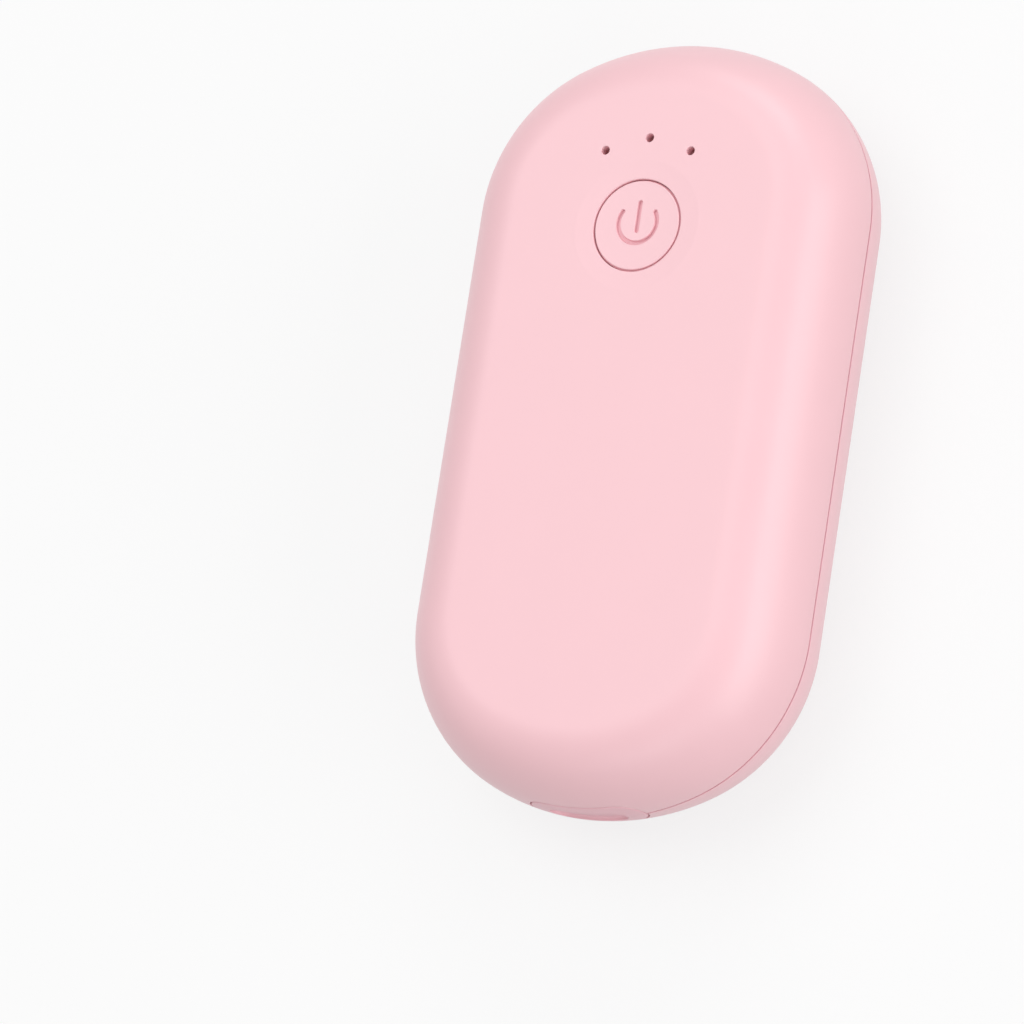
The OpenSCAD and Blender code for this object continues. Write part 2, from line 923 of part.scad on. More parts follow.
module battery_foam() {
  color(foam_grey)
    for (s = [-1, 1])
      translate([
        (s * battery_w / 2 - foam_w) / 2,
        battery_y - battery_l / 2 + foam_inset,
        battery_z + battery_t
      ])
        cube([foam_w, battery_l - 2 * foam_inset, foam_t]);
}

// A wire through the points, with a bead at each bend
module wire(points) {
  for (i = [0 : len(points) - 2]) {
    d = points[i + 1] - points[i];
    translate(points[i])
      rotate([0, acos(d[2] / norm(d)), atan2(d[1], d[0])])
        cylinder(r = wire_r, h = norm(d), $fn = 24);
  }
  for (i = [1 : 1 : len(points) - 2])
    translate(points[i])
      sphere(bead_r, $fn = 24);
}

module battery_lead(x) {
  wire([
    [x, battery_slot_at[1], protection_z + protection_size[2]],
    [x, battery_slot_at[1], wire_z],
    [x, battery_connector_at[1] + connector_size[1] / 2, wire_z]
  ]);
}

module battery_lead_red() {
  color("firebrick")
    battery_lead(battery_connector_at[0] - wire_pitch / 2);
}

module battery_lead_black() {
  color("black")
    battery_lead(battery_connector_at[0] + wire_pitch / 2);
}

module panel_heater_film() {
  color(film_amber)
    translate([window_gap - window_w / 2, battery_y - window_l / 2 + window_gap, panel_t])
      cube([window_w - 2 * window_gap, window_l - 2 * window_gap, film_t]);
}

module insulation_pad() {
  color(foam_grey)
    translate([pad_inset - window_w / 2, battery_y - window_l / 2 + window_gap, panel_t + film_t])
      cube([window_w - 2 * pad_inset, window_l - 2 * window_gap, pad_t]);
}

// Plate between the button and the port end's screw posts, under the button side's inner face
module top_heater_plate(inset, z, t) {
  translate([inset - spreader_w / 2, spreader_y0 + inset, z])
    cube([spreader_w - 2 * inset, spreader_y1 - spreader_y0 - 2 * inset, t]);
}

module heat_spreader() {
  color("silver")
    top_heater_plate(0, spreader_z, spreader_t);
}

module button_side_heater_film() {
  color(film_amber)
    top_heater_plate(film_inset, top_film_z, film_t);
}

module heater_leads() {
  color("white") {
    for (y = side_wires_y)
      wire([
        [window_w / 2 - panel_lead_inset, y, panel_t + film_t + wire_r],
        [side_wire_x, y, panel_t + film_t + wire_r],
        [side_wire_x, y, wire_z],
        [panel_connector_at[0] + connector_size[0] / 2, y, wire_z]
      ]);
    for (s = [-1, 1])
      wire([
        [top_connector_at[0] + s * wire_pitch / 2, top_lead_run[0], top_film_z - wire_r],
        [top_connector_at[0] + s * wire_pitch / 2, top_lead_run[1], top_film_z - wire_r],
        [top_connector_at[0] + s * wire_pitch / 2, top_lead_run[1], wire_z],
        [top_connector_at[0] + s * wire_pitch / 2, top_connector_at[1] - connector_size[1] / 2, wire_z]
      ]);
  }
}

module thermistor() {
  color(dark_plastic) {
    translate([thermistor_at[0], thermistor_at[1], top_film_z - thermistor_r])
      sphere(thermistor_r, $fn = 32);
    for (s = [-1, 1])
      translate([thermistor_at[0] + s * thermistor_leg_x, thermistor_at[1], board_top])
        cylinder(r = thermistor_leg_r, h = top_film_z - thermistor_r - board_top, $fn = 16);
  }
}

module main_board() {
  color(board_green)
    difference() {
      translate([0, 0, board_z])
        linear_extrude(board_t)
          intersection() {
            body_outline(frame_inset + board_edge_gap);
            translate([-body_w / 2, board_y0])
              square([body_w, body_l]);
          }
      for (p = case_screws_at)
        translate([p[0], p[1], floor_z])
          cylinder(r = case_boss_r + post_gap, h = body_t);
      at_board_screws(board_z - 1)
        cylinder(r = board_screw_r + shank_gap, h = board_t + 2);
      wire_slots(board_z - 1, board_t + 2);
    }
}

module switch_housing() {
  color(dark_plastic)
    difference() {
      translate([-switch_w / 2, button_y - switch_w / 2, board_top])
        cube([switch_w, switch_w, switch_h]);
      translate([0, button_y, board_top + switch_h - plunger_in - plunger_room])
        cylinder(r = plunger_r + plunger_gap, h = switch_h);
    }
}

module switch_plunger() {
  color(white_plastic)
    translate([0, button_y, board_top + switch_h - plunger_in])
      cylinder(r = plunger_r, h = plunger_top_z - board_top - switch_h + plunger_in);
}

module switch_plate() {
  color(steel)
    difference() {
      translate([-switch_w / 2, button_y - switch_w / 2, board_top + switch_h])
        cube([switch_w, switch_w, switch_plate_t]);
      translate([0, button_y, board_top])
        cylinder(r = plunger_r + plunger_gap, h = body_t);
    }
}

module indicator_lights() {
  color(white_plastic)
    light_spots(board_top + light_size[2] / 2)
      cube(light_size, center = true);
}

module on_board(at, size) {
  translate([at[0] - size[0] / 2, at[1] - size[1] / 2, board_top])
    cube(size);
}

module inductor() {
  color(foam_grey)
    difference() {
      on_board(inductor_at, inductor_size);
      translate([inductor_at[0], inductor_at[1], board_top + inductor_size[2] - 0.4])
        cylinder(r = inductor_core_r, h = 1);
    }
}

// Chip body with legs along two sides
module leaded_chip(at, size, legs) {
  color(dark_plastic)
    on_board(at, size);
  color(steel)
    for (i = [0 : legs - 1], s = [-1, 1])
      on_board(
        [at[0] + s * (size[0] + leg_size[0]) / 2, at[1] + (i - (legs - 1) / 2) * leg_pitch],
        leg_size
      );
}

module controller_chip() {
  leaded_chip(controller_at, controller_size, controller_legs);
}

module power_chips() {
  for (p = power_chips_at)
    leaded_chip(p, power_chip_size, power_chip_legs);
}

module capacitors() {
  color(copper) {
    for (p = capacitors_at)
      on_board(p, capacitor_size);
    on_board(output_capacitor_at, output_capacitor_size);
  }
}

module resistors() {
  color(dark_plastic)
    for (p = resistors_at)
      on_board(p, resistor_size);
}

module wire_connectors() {
  color(white_plastic) {
    on_board(battery_connector_at, connector_size);
    on_board(top_connector_at, connector_size);
    on_board(panel_connector_at, connector_size);
  }
}

module link_connectors() {
  color(white_plastic) {
    translate([
      -link_connector[0] / 2,
      usb_board_y1 - link_connector[1] - link_entry,
      usb_board_z + board_t
    ])
      cube(link_connector);
    translate([-link_connector[0] / 2, board_y0 + link_entry, board_top])
      cube(link_connector);
  }
}

// Flat cable: along the low board, up, and along to the main board, with round bends
module link_cable() {
  mid_r = link_bend_r + link_t;
  color(film_amber)
    rotate([90, 0, 90])
      linear_extrude(link_w, center = true) {
        translate([usb_board_y1 - link_entry, link_low_z])
          square([link_up_y - mid_r - usb_board_y1 + link_entry, link_t]);
        translate([link_up_y - link_t, link_low_z + mid_r])
          square([link_t, link_high_z + link_t - link_low_z - 2 * mid_r]);
        translate([link_up_y - link_t + mid_r, link_high_z])
          square([board_y0 + link_entry - link_up_y + link_t - mid_r, link_t]);
        quarter_bend([link_up_y - mid_r, link_low_z + mid_r], [0, -1]);
        quarter_bend([link_up_y - link_t + mid_r, link_high_z + link_t - mid_r], [-1, 0]);
      }
}

module quarter_bend(centre, corner) {
  mid_r = link_bend_r + link_t;
  intersection() {
    translate(centre)
      difference() {
        circle(mid_r);
        circle(link_bend_r);
      }
    translate(centre + mid_r * corner)
      square(mid_r);
  }
}

module usb_board() {
  color(board_green)
    difference() {
      translate([-usb_board_w / 2, usb_board_y0, usb_board_z])
        cube([usb_board_w, usb_board_y1 - usb_board_y0, board_t]);
      translate([tether_x - foot_w / 2 - foot_notch_gap, usb_board_y0 - 1, usb_board_z - 1])
        cube([
          foot_w + 2 * foot_notch_gap,
          block_y + foot_gap + foot_t + foot_notch_gap - usb_board_y0 + 1,
          board_t + 2
        ]);
      for (p = usb_screws_at)
        translate([p[0], p[1], usb_board_z - 1])
          cylinder(r = board_screw_r + shank_gap, h = board_t + 2);
    }
}

module usb_socket_shell() {
  color(steel)
    difference() {
      oblong_y(socket_w, socket_h, socket_front_y, socket_front_y + socket_l);
      oblong_y(
        socket_w - 2 * socket_wall,
        socket_h - 2 * socket_wall,
        socket_front_y - 1,
        socket_front_y + socket_l + 1
      );
    }
}

module usb_socket_insert() {
  color(dark_plastic) {
    oblong_y(
      socket_w - 2 * socket_wall,
      socket_h - 2 * socket_wall,
      socket_front_y + socket_l - insert_back,
      socket_front_y + socket_l
    );
    translate([-tongue_size[0] / 2, socket_front_y + tongue_back, mid_z - tongue_size[1] / 2])
      cube([tongue_size[0], socket_l - tongue_back - insert_back + e, tongue_size[1]]);
  }
}

module usb_contacts() {
  color("goldenrod")
    for (i = [0 : 11], s = [-1, 1])
      translate([
        (i - 5.5) * contact_pitch - contact_size[0] / 2,
        socket_front_y + contact_back,
        mid_z + (s * (tongue_size[1] + contact_size[2]) - contact_size[2]) / 2
      ])
        cube(contact_size);
}

panel_side_shell();
button_side_shell();
face_panel();
panel_tape();
power_button();
port_cover();
cover_tether();
light_guide();
light_shroud();
mid_frame();
case_screws();
board_screws();
battery_cell();
battery_tabs();
protection_board();
battery_foam();
battery_lead_red();
battery_lead_black();
panel_heater_film();
insulation_pad();
heat_spreader();
button_side_heater_film();
heater_leads();
thermistor();
main_board();
switch_housing();
switch_plunger();
switch_plate();
indicator_lights();
inductor();
controller_chip();
power_chips();
capacitors();
resistors();
wire_connectors();
link_connectors();
link_cable();
usb_board();
usb_socket_shell();
usb_socket_insert();
usb_contacts();
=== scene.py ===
import bmesh
import bpy
import numpy as np
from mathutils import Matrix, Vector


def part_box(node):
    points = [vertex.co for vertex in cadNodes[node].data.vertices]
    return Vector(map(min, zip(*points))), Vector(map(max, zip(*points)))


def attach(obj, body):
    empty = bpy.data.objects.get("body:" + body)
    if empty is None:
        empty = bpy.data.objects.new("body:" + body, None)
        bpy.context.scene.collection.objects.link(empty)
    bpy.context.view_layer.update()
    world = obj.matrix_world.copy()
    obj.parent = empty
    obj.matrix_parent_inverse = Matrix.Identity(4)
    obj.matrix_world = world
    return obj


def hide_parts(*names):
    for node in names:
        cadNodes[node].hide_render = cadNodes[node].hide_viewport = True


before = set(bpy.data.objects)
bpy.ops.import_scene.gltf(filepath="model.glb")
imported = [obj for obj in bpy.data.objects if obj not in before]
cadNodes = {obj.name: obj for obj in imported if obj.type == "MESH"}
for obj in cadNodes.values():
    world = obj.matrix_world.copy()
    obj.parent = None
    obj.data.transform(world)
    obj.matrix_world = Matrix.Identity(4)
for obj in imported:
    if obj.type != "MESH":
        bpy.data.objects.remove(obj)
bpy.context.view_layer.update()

millimetre = 0.001
print("frame loaded:", len(cadNodes), "nodes")

noiseRange = (0.3, 0.7)  # what most of a noise's values lie between
noiseMiddle = 0.5
cloudDetail = 3.0
bandPitch = 0.314  # pitch of a wave texture's bands at scale 1


# A node's output: arithmetic on it adds Math nodes
class Signal:
    def __init__(self, owner, socket):
        self.owner = owner
        self.socket = socket

    # An operation on two signals or numbers
    def work(self, operation, first, second):
        return self.owner.node("ShaderNodeMath", {"operation": operation}, {0: first, 1: second})

    def __add__(self, other):
        return self.work("ADD", self, other)

    def __radd__(self, other):
        return self.work("ADD", other, self)

    def __sub__(self, other):
        return self.work("SUBTRACT", self, other)

    def __rsub__(self, other):
        return self.work("SUBTRACT", other, self)

    def __mul__(self, other):
        return self.work("MULTIPLY", self, other)

    def __rmul__(self, other):
        return self.work("MULTIPLY", other, self)

    # How far it is from nought
    def away(self):
        return self.work("ABSOLUTE", self, 0.0)

    # The larger of it and another
    def orMore(self, other):
        return self.work("MAXIMUM", self, other)

    # Another output of the same node
    def sibling(self, output):
        return Signal(self.owner, self.socket.node.outputs[output])


# An emptied node tree and the one way to add a node to it
class NodeTree:
    def __init__(self, tree):
        self.tree = tree
        self.tree.nodes.clear()

    # Any node: its settings first, then the values or links of its sockets
    def node(self, kind, settings=None, inputs=None, output=0):
        made = self.tree.nodes.new(kind)
        for name, value in (settings or {}).items():
            setattr(made, name, value)
        for slot, value in (inputs or {}).items():
            if isinstance(value, Signal):
                self.tree.links.new(value.socket, made.inputs[slot])
            else:
                made.inputs[slot].default_value = value
        return Signal(self, made.outputs[output]) if len(made.outputs) else None


# One material, whose patterns read Object coordinates
class Finish(NodeTree):
    def __init__(self, name):
        self.material = bpy.data.materials.new(name)
        self.material.use_nodes = True
        super().__init__(self.material.node_tree)
        self.place = self.node("ShaderNodeTexCoord", output="Object")

    # Noise with clouds of a size: its scale is 1 / size
    def noise(self, size, detail=2.0, stretch=(1.0, 1.0, 1.0)):
        place = self.node("ShaderNodeMapping", None, {"Vector": self.place, "Scale": stretch})
        inputs = {"Vector": place, "Scale": 1.0 / (size * millimetre), "Detail": detail}
        return self.node("ShaderNodeTexNoise", {"normalize": True}, inputs)

    # Distance from the nearest of scattered points that stand a size apart
    def cells(self, size):
        inputs = {"Vector": self.place, "Scale": 1.0 / (size * millimetre)}
        return self.node("ShaderNodeTexVoronoi", {"feature": "F1"}, inputs)

    # Wavering stripes across one direction: their scale is bandPitch / pitch
    def bands(self, pitch, direction, waver):
        settings = {"wave_type": "BANDS", "bands_direction": direction}
        inputs = {"Vector": self.place, "Scale": bandPitch / (pitch * millimetre), "Distortion": waver}
        return self.node("ShaderNodeTexWave", settings, inputs)

    # Spreads a signal's low to high onto a new low to high, held at both ends
    def spread(self, signal, low, high, newLow=0.0, newHigh=1.0):
        inputs = {"Value": signal, "From Min": low, "From Max": high, "To Min": newLow, "To Max": newHigh}
        return self.node("ShaderNodeMapRange", {"clamp": True}, inputs)

    # (1 - factor) * first + factor * second
    def mixColour(self, factor, first, second):
        return self.node("ShaderNodeMix", {"data_type": "RGBA"}, {0: factor, 6: first, 7: second}, 2)

    # A colour that goes with a noise from one share of itself to another
    def mottled(self, noise, colour, darkShare, paleShare):
        share = self.spread(noise, *noiseRange)
        return self.mixColour(share, shaded(colour, darkShare), shaded(colour, paleShare))

    # Relief: a height of one stands depth over a height of nought
    def bump(self, height, depth, strength=1.0):
        inputs = {"Height": height, "Distance": depth * millimetre, "Strength": strength}
        return self.node("ShaderNodeBump", None, inputs)

    # The material with its one shader
    def close(self, sockets):
        shader = self.node("ShaderNodeBsdfPrincipled", None, sockets)
        self.node("ShaderNodeOutputMaterial", None, {"Surface": shader})
        return self.material


# A colour with full alpha
def rgba(colour):
    return (*colour, 1.0)


# A colour times a share
def shaded(colour, share):
    return rgba([channel * share for channel in colour])


# Three channels of one level
def grey(level):
    return rgba([level] * 3)


# A value that wanders with a noise: value + (noise - its middle) * swing
def wander(value, noise, swing):
    return value + (noise - noiseMiddle) * swing


# Height of the point that is shaded
def heightOf(finish):
    return finish.node("ShaderNodeSeparateXYZ", None, {"Vector": finish.place}, "Z")


# Nought down in the parting groove, which takes painted shade, and one beside it, by the distance from the
# parting plane
def besideSeam(finish, look):
    half = look["seamHalf"] * millimetre
    away = (heightOf(finish) - look["seamZ"] * millimetre).away()
    return finish.spread(away, look["seamFloorShare"] * half, half)


# Nought on the floor of the engraved sign, which takes painted shade, and one on the button's face, by the
# height
def overSign(finish, look):
    return finish.spread(heightOf(finish), look["signFloorZ"] * millimetre, look["signBrimZ"] * millimetre)


# Moulded plastic: a faint cloudiness, a fine satin texture, roughness that wanders a little, and where the
# look asks, painted shade in a groove or engraving
def mouldedPlastic(name, look):
    finish = Finish(name)
    cloud = finish.noise(look["cloudSize"], cloudDetail)
    grain = finish.noise(look["grainSize"])
    swing = look["cloudShare"]
    colour = finish.mottled(cloud, look["colour"], 1.0 - swing, 1.0 + swing)
    # Painted shade: a darker colour stands in for the shade in a groove or an engraving, where the look's
    # mask is nought
    if "deepColour" in look:
        colour = finish.mixColour(look["plainShare"](finish, look), rgba(look["deepColour"]), colour)
    return finish.close({
        "Base Color": colour,
        "Roughness": wander(wander(look["rough"], cloud, look["roughSwing"]), grain, look["roughSwing"]),
        "Normal": finish.bump(grain, look["grainDepth"]),
        "IOR": look["ior"],
        "Coat Weight": look["coat"],
        "Coat Roughness": look["coatRough"],
    })


# Metal: fine lines along one direction over a mottled plating
def brushedMetal(name, look):
    finish = Finish(name)
    lines = finish.noise(look["lineSize"], stretch=look["stretch"])
    cloud = finish.noise(look["cloudSize"], cloudDetail)
    return finish.close({
        "Base Color": finish.mottled(cloud, look["colour"], look["darkShare"], look["paleShare"]),
        "Metallic": 1.0,
        "Roughness": wander(look["rough"], lines, look["roughSwing"]),
        "Normal": finish.bump(lines, look["lineDepth"]),
    })


# Foam, tape and pads: small cells with darker pits
def cellFoam(name, look):
    finish = Finish(name)
    cells = finish.cells(look["cellSize"])
    cloud = finish.noise(look["cloudSize"], cloudDetail)
    pits = finish.spread(cells, *look["pitRange"])
    pale, dark = shaded(look["colour"], look["paleShare"]), shaded(look["colour"], look["darkShare"])
    return finish.close({
        "Base Color": finish.mixColour(pits, pale, dark),
        "Roughness": wander(look["rough"], cloud, look["roughSwing"]),
        "Normal": finish.bump(cells, look["cellDepth"], look["bumpShare"]),
    })


# Circuit board: copper tracks in two directions show through the green mask as low ridges
def circuitBoard(name, look):
    finish = Finish(name)
    along = finish.bands(look["alongPitch"], "X", look["alongWaver"])
    across = finish.bands(look["acrossPitch"], "Y", look["acrossWaver"])
    areas = finish.spread(finish.noise(look["areaSize"], look["areaDetail"]), *look["areaRange"])
    tracks = finish.spread(along * areas + across * (1.0 - areas), *look["trackRange"])
    weave = finish.noise(look["weaveSize"])
    return finish.close({
        "Base Color": finish.mixColour(tracks, rgba(look["colour"]), rgba(look["trackColour"])),
        "Roughness": wander(look["rough"], weave, look["roughSwing"]),
        "Normal": finish.bump(tracks, look["trackHeight"]),
        "Coat Weight": look["coat"],
        "Coat Roughness": look["coatRough"],
    })


# Laminated foil or film: soft creases and a slight change of tone
def creasedFoil(name, look):
    finish = Finish(name)
    creases = finish.noise(look["creaseSize"], look["creaseDetail"])
    fine = finish.noise(look["fineSize"])
    return finish.close({
        "Base Color": finish.mottled(creases, look["colour"], look["darkShare"], look["paleShare"]),
        "Metallic": look["metal"],
        "Roughness": wander(look["rough"], fine, look["roughSwing"]),
        "Normal": finish.bump(creases, look["creaseDepth"]),
    })


# Clear moulded light guide: milky inside, with faint flow lines
def clearGuide(name, look):
    finish = Finish(name)
    flow = finish.noise(look["flowSize"], cloudDetail, look["stretch"])
    dark, pale = shaded(look["colour"], look["darkShare"]), rgba(look["colour"])
    return finish.close({
        "Base Color": finish.mixColour(flow, dark, pale),
        "Roughness": wander(look["rough"], flow, look["roughSwing"]),
        "Normal": finish.bump(flow, look["flowDepth"]),
        "Transmission Weight": look["clear"],
        "IOR": look["ior"],
    })


pinkLook = {
    "colour": (0.872, 0.54, 0.58),
    "rough": 0.42, "roughSwing": 0.05, "ior": 1.5, "coat": 0.2, "coatRough": 0.3,
    "cloudSize": 9.0, "cloudShare": 0.006,
    "grainSize": 0.12, "grainDepth": 0.0012,
}
# Painted shade: the parting groove is darkened, standing in for the shade down in it
seamLook = dict(
    pinkLook, plainShare=besideSeam, deepColour=(0.74, 0.38, 0.44),
    seamZ=12.0, seamHalf=0.22, seamFloorShare=0.6)
# Painted shade: the engraved sign's floor is darkened, standing in for the shade in the engraving
buttonLook = dict(
    pinkLook, plainShare=overSign, deepColour=(0.82, 0.43, 0.48),
    signFloorZ=23.45, signBrimZ=23.66, cloudSize=5.0)
darkLook = {
    "colour": (0.04, 0.04, 0.045),
    "rough": 0.5, "roughSwing": 0.1, "ior": 1.46, "coat": 0.0, "coatRough": 0.2,
    "cloudSize": 2.0, "cloudShare": 0.1,
    "grainSize": 0.1, "grainDepth": 0.004,
}
whiteLook = dict(darkLook, colour=(0.8, 0.79, 0.76), cloudShare=0.02)
sleeveLook = dict(darkLook, rough=0.42, cloudSize=1.2, cloudShare=0.05)
steelLook = {
    "colour": (0.6, 0.61, 0.62), "darkShare": 0.92, "paleShare": 1.04, "cloudSize": 1.5,
    "rough": 0.3, "roughSwing": 0.16,
    "lineSize": 0.15, "stretch": (1.0, 1.0, 6.0), "lineDepth": 0.002,
}
foamLook = {
    "colour": (0.22, 0.23, 0.24), "darkShare": 0.75, "paleShare": 1.15, "cloudSize": 4.0,
    "rough": 0.9, "roughSwing": 0.1,
    "cellSize": 0.25, "cellDepth": 0.06, "pitRange": (0.1, 0.6), "bumpShare": 0.8,
}
boardLook = {
    "colour": (0.02, 0.15, 0.065), "trackColour": (0.035, 0.26, 0.1),
    "rough": 0.3, "roughSwing": 0.12, "coat": 0.3, "coatRough": 0.15,
    "alongPitch": 0.9, "alongWaver": 2.5, "acrossPitch": 1.53, "acrossWaver": 2.0,
    "areaSize": 6.0, "areaDetail": 1.0, "areaRange": (0.48, 0.52),
    "trackRange": (0.55, 0.7), "trackHeight": 0.02, "weaveSize": 0.3,
}
foilLook = {
    "colour": (0.64, 0.66, 0.69), "darkShare": 0.9, "paleShare": 1.06,
    "metal": 0.9, "rough": 0.36, "roughSwing": 0.12,
    "creaseSize": 5.0, "creaseDetail": 4.0, "creaseDepth": 0.12, "fineSize": 0.75,
}
guideLook = {
    "colour": (0.75, 0.34, 0.35), "darkShare": 0.93, "clear": 0.5, "ior": 1.49,
    "rough": 0.42, "roughSwing": 0.1,
    "flowSize": 1.0, "flowDepth": 0.01, "stretch": (1.0, 1.0, 0.3),
}

finishes = {
    "shell_pink": (mouldedPlastic, seamLook),
    "panel_pink": (mouldedPlastic, dict(pinkLook, cloudSize=11.0)),
    "button_pink": (mouldedPlastic, buttonLook),
    "cover_pink": (mouldedPlastic, dict(pinkLook, colour=(0.85, 0.51, 0.56), rough=0.52)),
    "tape": (cellFoam, dict(foamLook, colour=(0.32, 0.33, 0.35), cellSize=0.5, cellDepth=0.02)),
    "light_guide": (clearGuide, guideLook),
    "dark_plastic": (mouldedPlastic, darkLook),
    "frame_white": (mouldedPlastic, dict(whiteLook, colour=(0.82, 0.8, 0.77))),
    "screw_steel": (brushedMetal, dict(steelLook, colour=(0.55, 0.56, 0.58))),
    "cell_foil": (creasedFoil, foilLook),
    "nickel": (brushedMetal, dict(steelLook, colour=(0.66, 0.64, 0.58), stretch=(6.0, 1.0, 1.0))),
    "board_green": (circuitBoard, boardLook),
    "foam_grey": (cellFoam, foamLook),
    "wire_red": (mouldedPlastic, dict(sleeveLook, colour=(0.55, 0.03, 0.02))),
    "wire_black": (mouldedPlastic, dict(sleeveLook, colour=(0.02, 0.02, 0.02))),
    "wire_white": (mouldedPlastic, dict(sleeveLook, colour=(0.8, 0.8, 0.78), cloudShare=0.02)),
    "heater_amber": (creasedFoil, dict(foilLook, colour=(0.6, 0.28, 0.04), metal=0.1, rough=0.25)),
    "spreader": (brushedMetal, dict(steelLook, colour=(0.72, 0.73, 0.74), stretch=(1.0, 8.0, 1.0))),
    "white_plastic": (mouldedPlastic, whiteLook),
    "lamp_white": (mouldedPlastic, dict(whiteLook, colour=(0.85, 0.84, 0.78), coat=0.6)),
    "ferrite": (mouldedPlastic, dict(darkLook, colour=(0.08, 0.08, 0.085), rough=0.7)),
    "ceramic": (mouldedPlastic, dict(darkLook, colour=(0.45, 0.33, 0.2), cloudShare=0.04)),
    "socket_steel": (brushedMetal, dict(steelLook, stretch=(1.0, 8.0, 1.0))),
    "gold": (brushedMetal, dict(steelLook, colour=(0.8, 0.58, 0.22), stretch=(1.0, 8.0, 1.0))),
}
materials = {slot: make(slot + "_finish", look) for slot, (make, look) in finishes.items()}

# Each CAD node takes the finish that its own slot is named after
for node in cadNodes.values():
    for materialSlot in node.material_slots:
        materialSlot.material = materials[materialSlot.material.name.split(".")[0]]
print("finishes:", len(materials))

creaseAngle = 32.0  # degrees: edges that bend more stay sharp


# Collects rings of points and the faces between them, then becomes a piece
class Surface:
    def __init__(self):
        self.points = []
        self.quads = []
        self.loose = []
        self.count = 0

    # Adds an array of points, whose last axis is x, y, z, and returns their numbers in its shape
    def add(self, points):
        points = np.asarray(points, float)
        numbers = self.count + np.arange(points[..., 0].size).reshape(points.shape[:-1])
        self.points.append(points.reshape(-1, 3))
        self.count += numbers.size
        return numbers

    # Quads between each ring of numbers and the next; keep says which of them stay
    def weave(self, numbers, closed=True, keep=None):
        ahead = np.roll(numbers, -1, axis=1)
        quads = np.stack([numbers[:-1], ahead[:-1], ahead[1:], numbers[1:]], axis=-1)
        if not closed:
            quads = quads[:, :-1]
        if keep is not None:
            quads = quads[keep[:quads.shape[0], :quads.shape[1]]]
        self.quads.append(quads.reshape(-1, 4))

    # A fan from a ring to one point
    def pole(self, ring, point):
        centre = self.add(np.array([point]))[0]
        ahead = np.roll(ring, -1)
        self.loose += [[int(a), int(b), int(centre)] for a, b in zip(ring, ahead)]

    # One face with any number of corners
    def face(self, numbers):
        self.loose.append([int(number) for number in numbers])

    # The piece: a closed mesh in metres, with its faces turned outwards
    def piece(self, name, slot, body, replaced):
        points = np.concatenate(self.points) * millimetre
        faces = np.concatenate(self.quads).tolist() + self.loose
        mesh = bpy.data.meshes.new(name)
        mesh.from_pydata(points.tolist(), [], faces)
        work = bmesh.new()
        work.from_mesh(mesh)
        unused = [vertex for vertex in work.verts if not vertex.link_faces]
        bmesh.ops.delete(work, geom=unused, context="VERTS")
        bmesh.ops.recalc_face_normals(work, faces=work.faces)
        work.to_mesh(mesh)
        work.free()
        mesh.shade_smooth()
        mesh.set_sharp_from_angle(angle=np.radians(creaseAngle))
        mesh.materials.append(materials[slot])
        made = bpy.data.objects.new(name, mesh)
        bpy.context.scene.collection.objects.link(made)
        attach(made, body)
        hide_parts(*replaced)
        print(name, "points", len(points), "faces", len(faces))


hair = 1e-9  # less than any real turn


# An outline of two straights, four shoulder arcs and a flatter tip arc at each end
class Outline:
    def __init__(self, width, length, endLength, shoulderRadius, middleY=0.0):
        self.shoulderX = width / 2 - shoulderRadius
        self.straightY = length / 2 - endLength
        self.shoulder = shoulderRadius
        spread = self.shoulderX ** 2 + endLength ** 2 - shoulderRadius ** 2
        self.tip = spread / (2 * (endLength - shoulderRadius))
        self.tipY = length / 2 - self.tip
        self.turn = np.arctan2(self.tip - endLength, self.shoulderX)
        self.middleY = middleY

    # Point at an inset: the arc's centre + (its radius - inset) * the normal
    def at(self, columns, inset):
        angle, run = columns
        fold = np.arctan2(np.abs(np.sin(angle)), np.abs(np.cos(angle)))
        onTip = fold > self.turn + hair
        centreX = np.where(onTip, 0.0, np.sign(np.cos(angle)) * self.shoulderX)
        centreY = run * np.where(onTip, self.tipY, self.straightY)
        reach = np.where(onTip, self.tip, self.shoulder) - inset
        return centreX + reach * np.cos(angle), self.middleY + centreY + reach * np.sin(angle)

    # Inset of a point: how far it lies inside the outline, by the arc that it faces
    def insetAt(self, x, y):
        across = np.abs(x)
        along = np.abs(y - self.middleY)
        beside = self.shoulderX + self.shoulder - across
        shoulderWay = np.hypot(across - self.shoulderX, along - self.straightY)
        shoulderTurn = np.arctan2(along - self.straightY, across - self.shoulderX)
        tipWay = np.hypot(across, along - self.tipY)
        atEnd = np.where(shoulderTurn > self.turn, self.tip - tipWay, self.shoulder - shoulderWay)
        return np.where(along > self.straightY, atEnd, beside)


# Normal angle and straight's run of each column, anticlockwise from the right side's -Y end.
# Each part says its angles from and to, its runs from and to, and how many columns it has.
def outlineColumns(turn, counts):
    halfTurn, fullTurn = np.pi, 2 * np.pi
    parts = [
        (0.0, 0.0, -1.0, 1.0, counts["straight"]),
        (0.0, turn, 1.0, 1.0, counts["shoulder"]),
        (turn, halfTurn - turn, 1.0, 1.0, counts["buttonTip"]),
        (halfTurn - turn, halfTurn, 1.0, 1.0, counts["shoulder"]),
        (halfTurn, halfTurn, 1.0, -1.0, counts["straight"]),
        (halfTurn, halfTurn + turn, -1.0, -1.0, counts["shoulder"]),
        (halfTurn + turn, fullTurn - turn, -1.0, -1.0, counts["portTip"]),
        (fullTurn - turn, fullTurn, -1.0, -1.0, counts["shoulder"]),
    ]
    angle = np.concatenate([np.linspace(a, b, n, endpoint=False) for a, b, _, _, n in parts])
    run = np.concatenate([np.linspace(r, s, n, endpoint=False) for _, _, r, s, n in parts])
    return angle, run


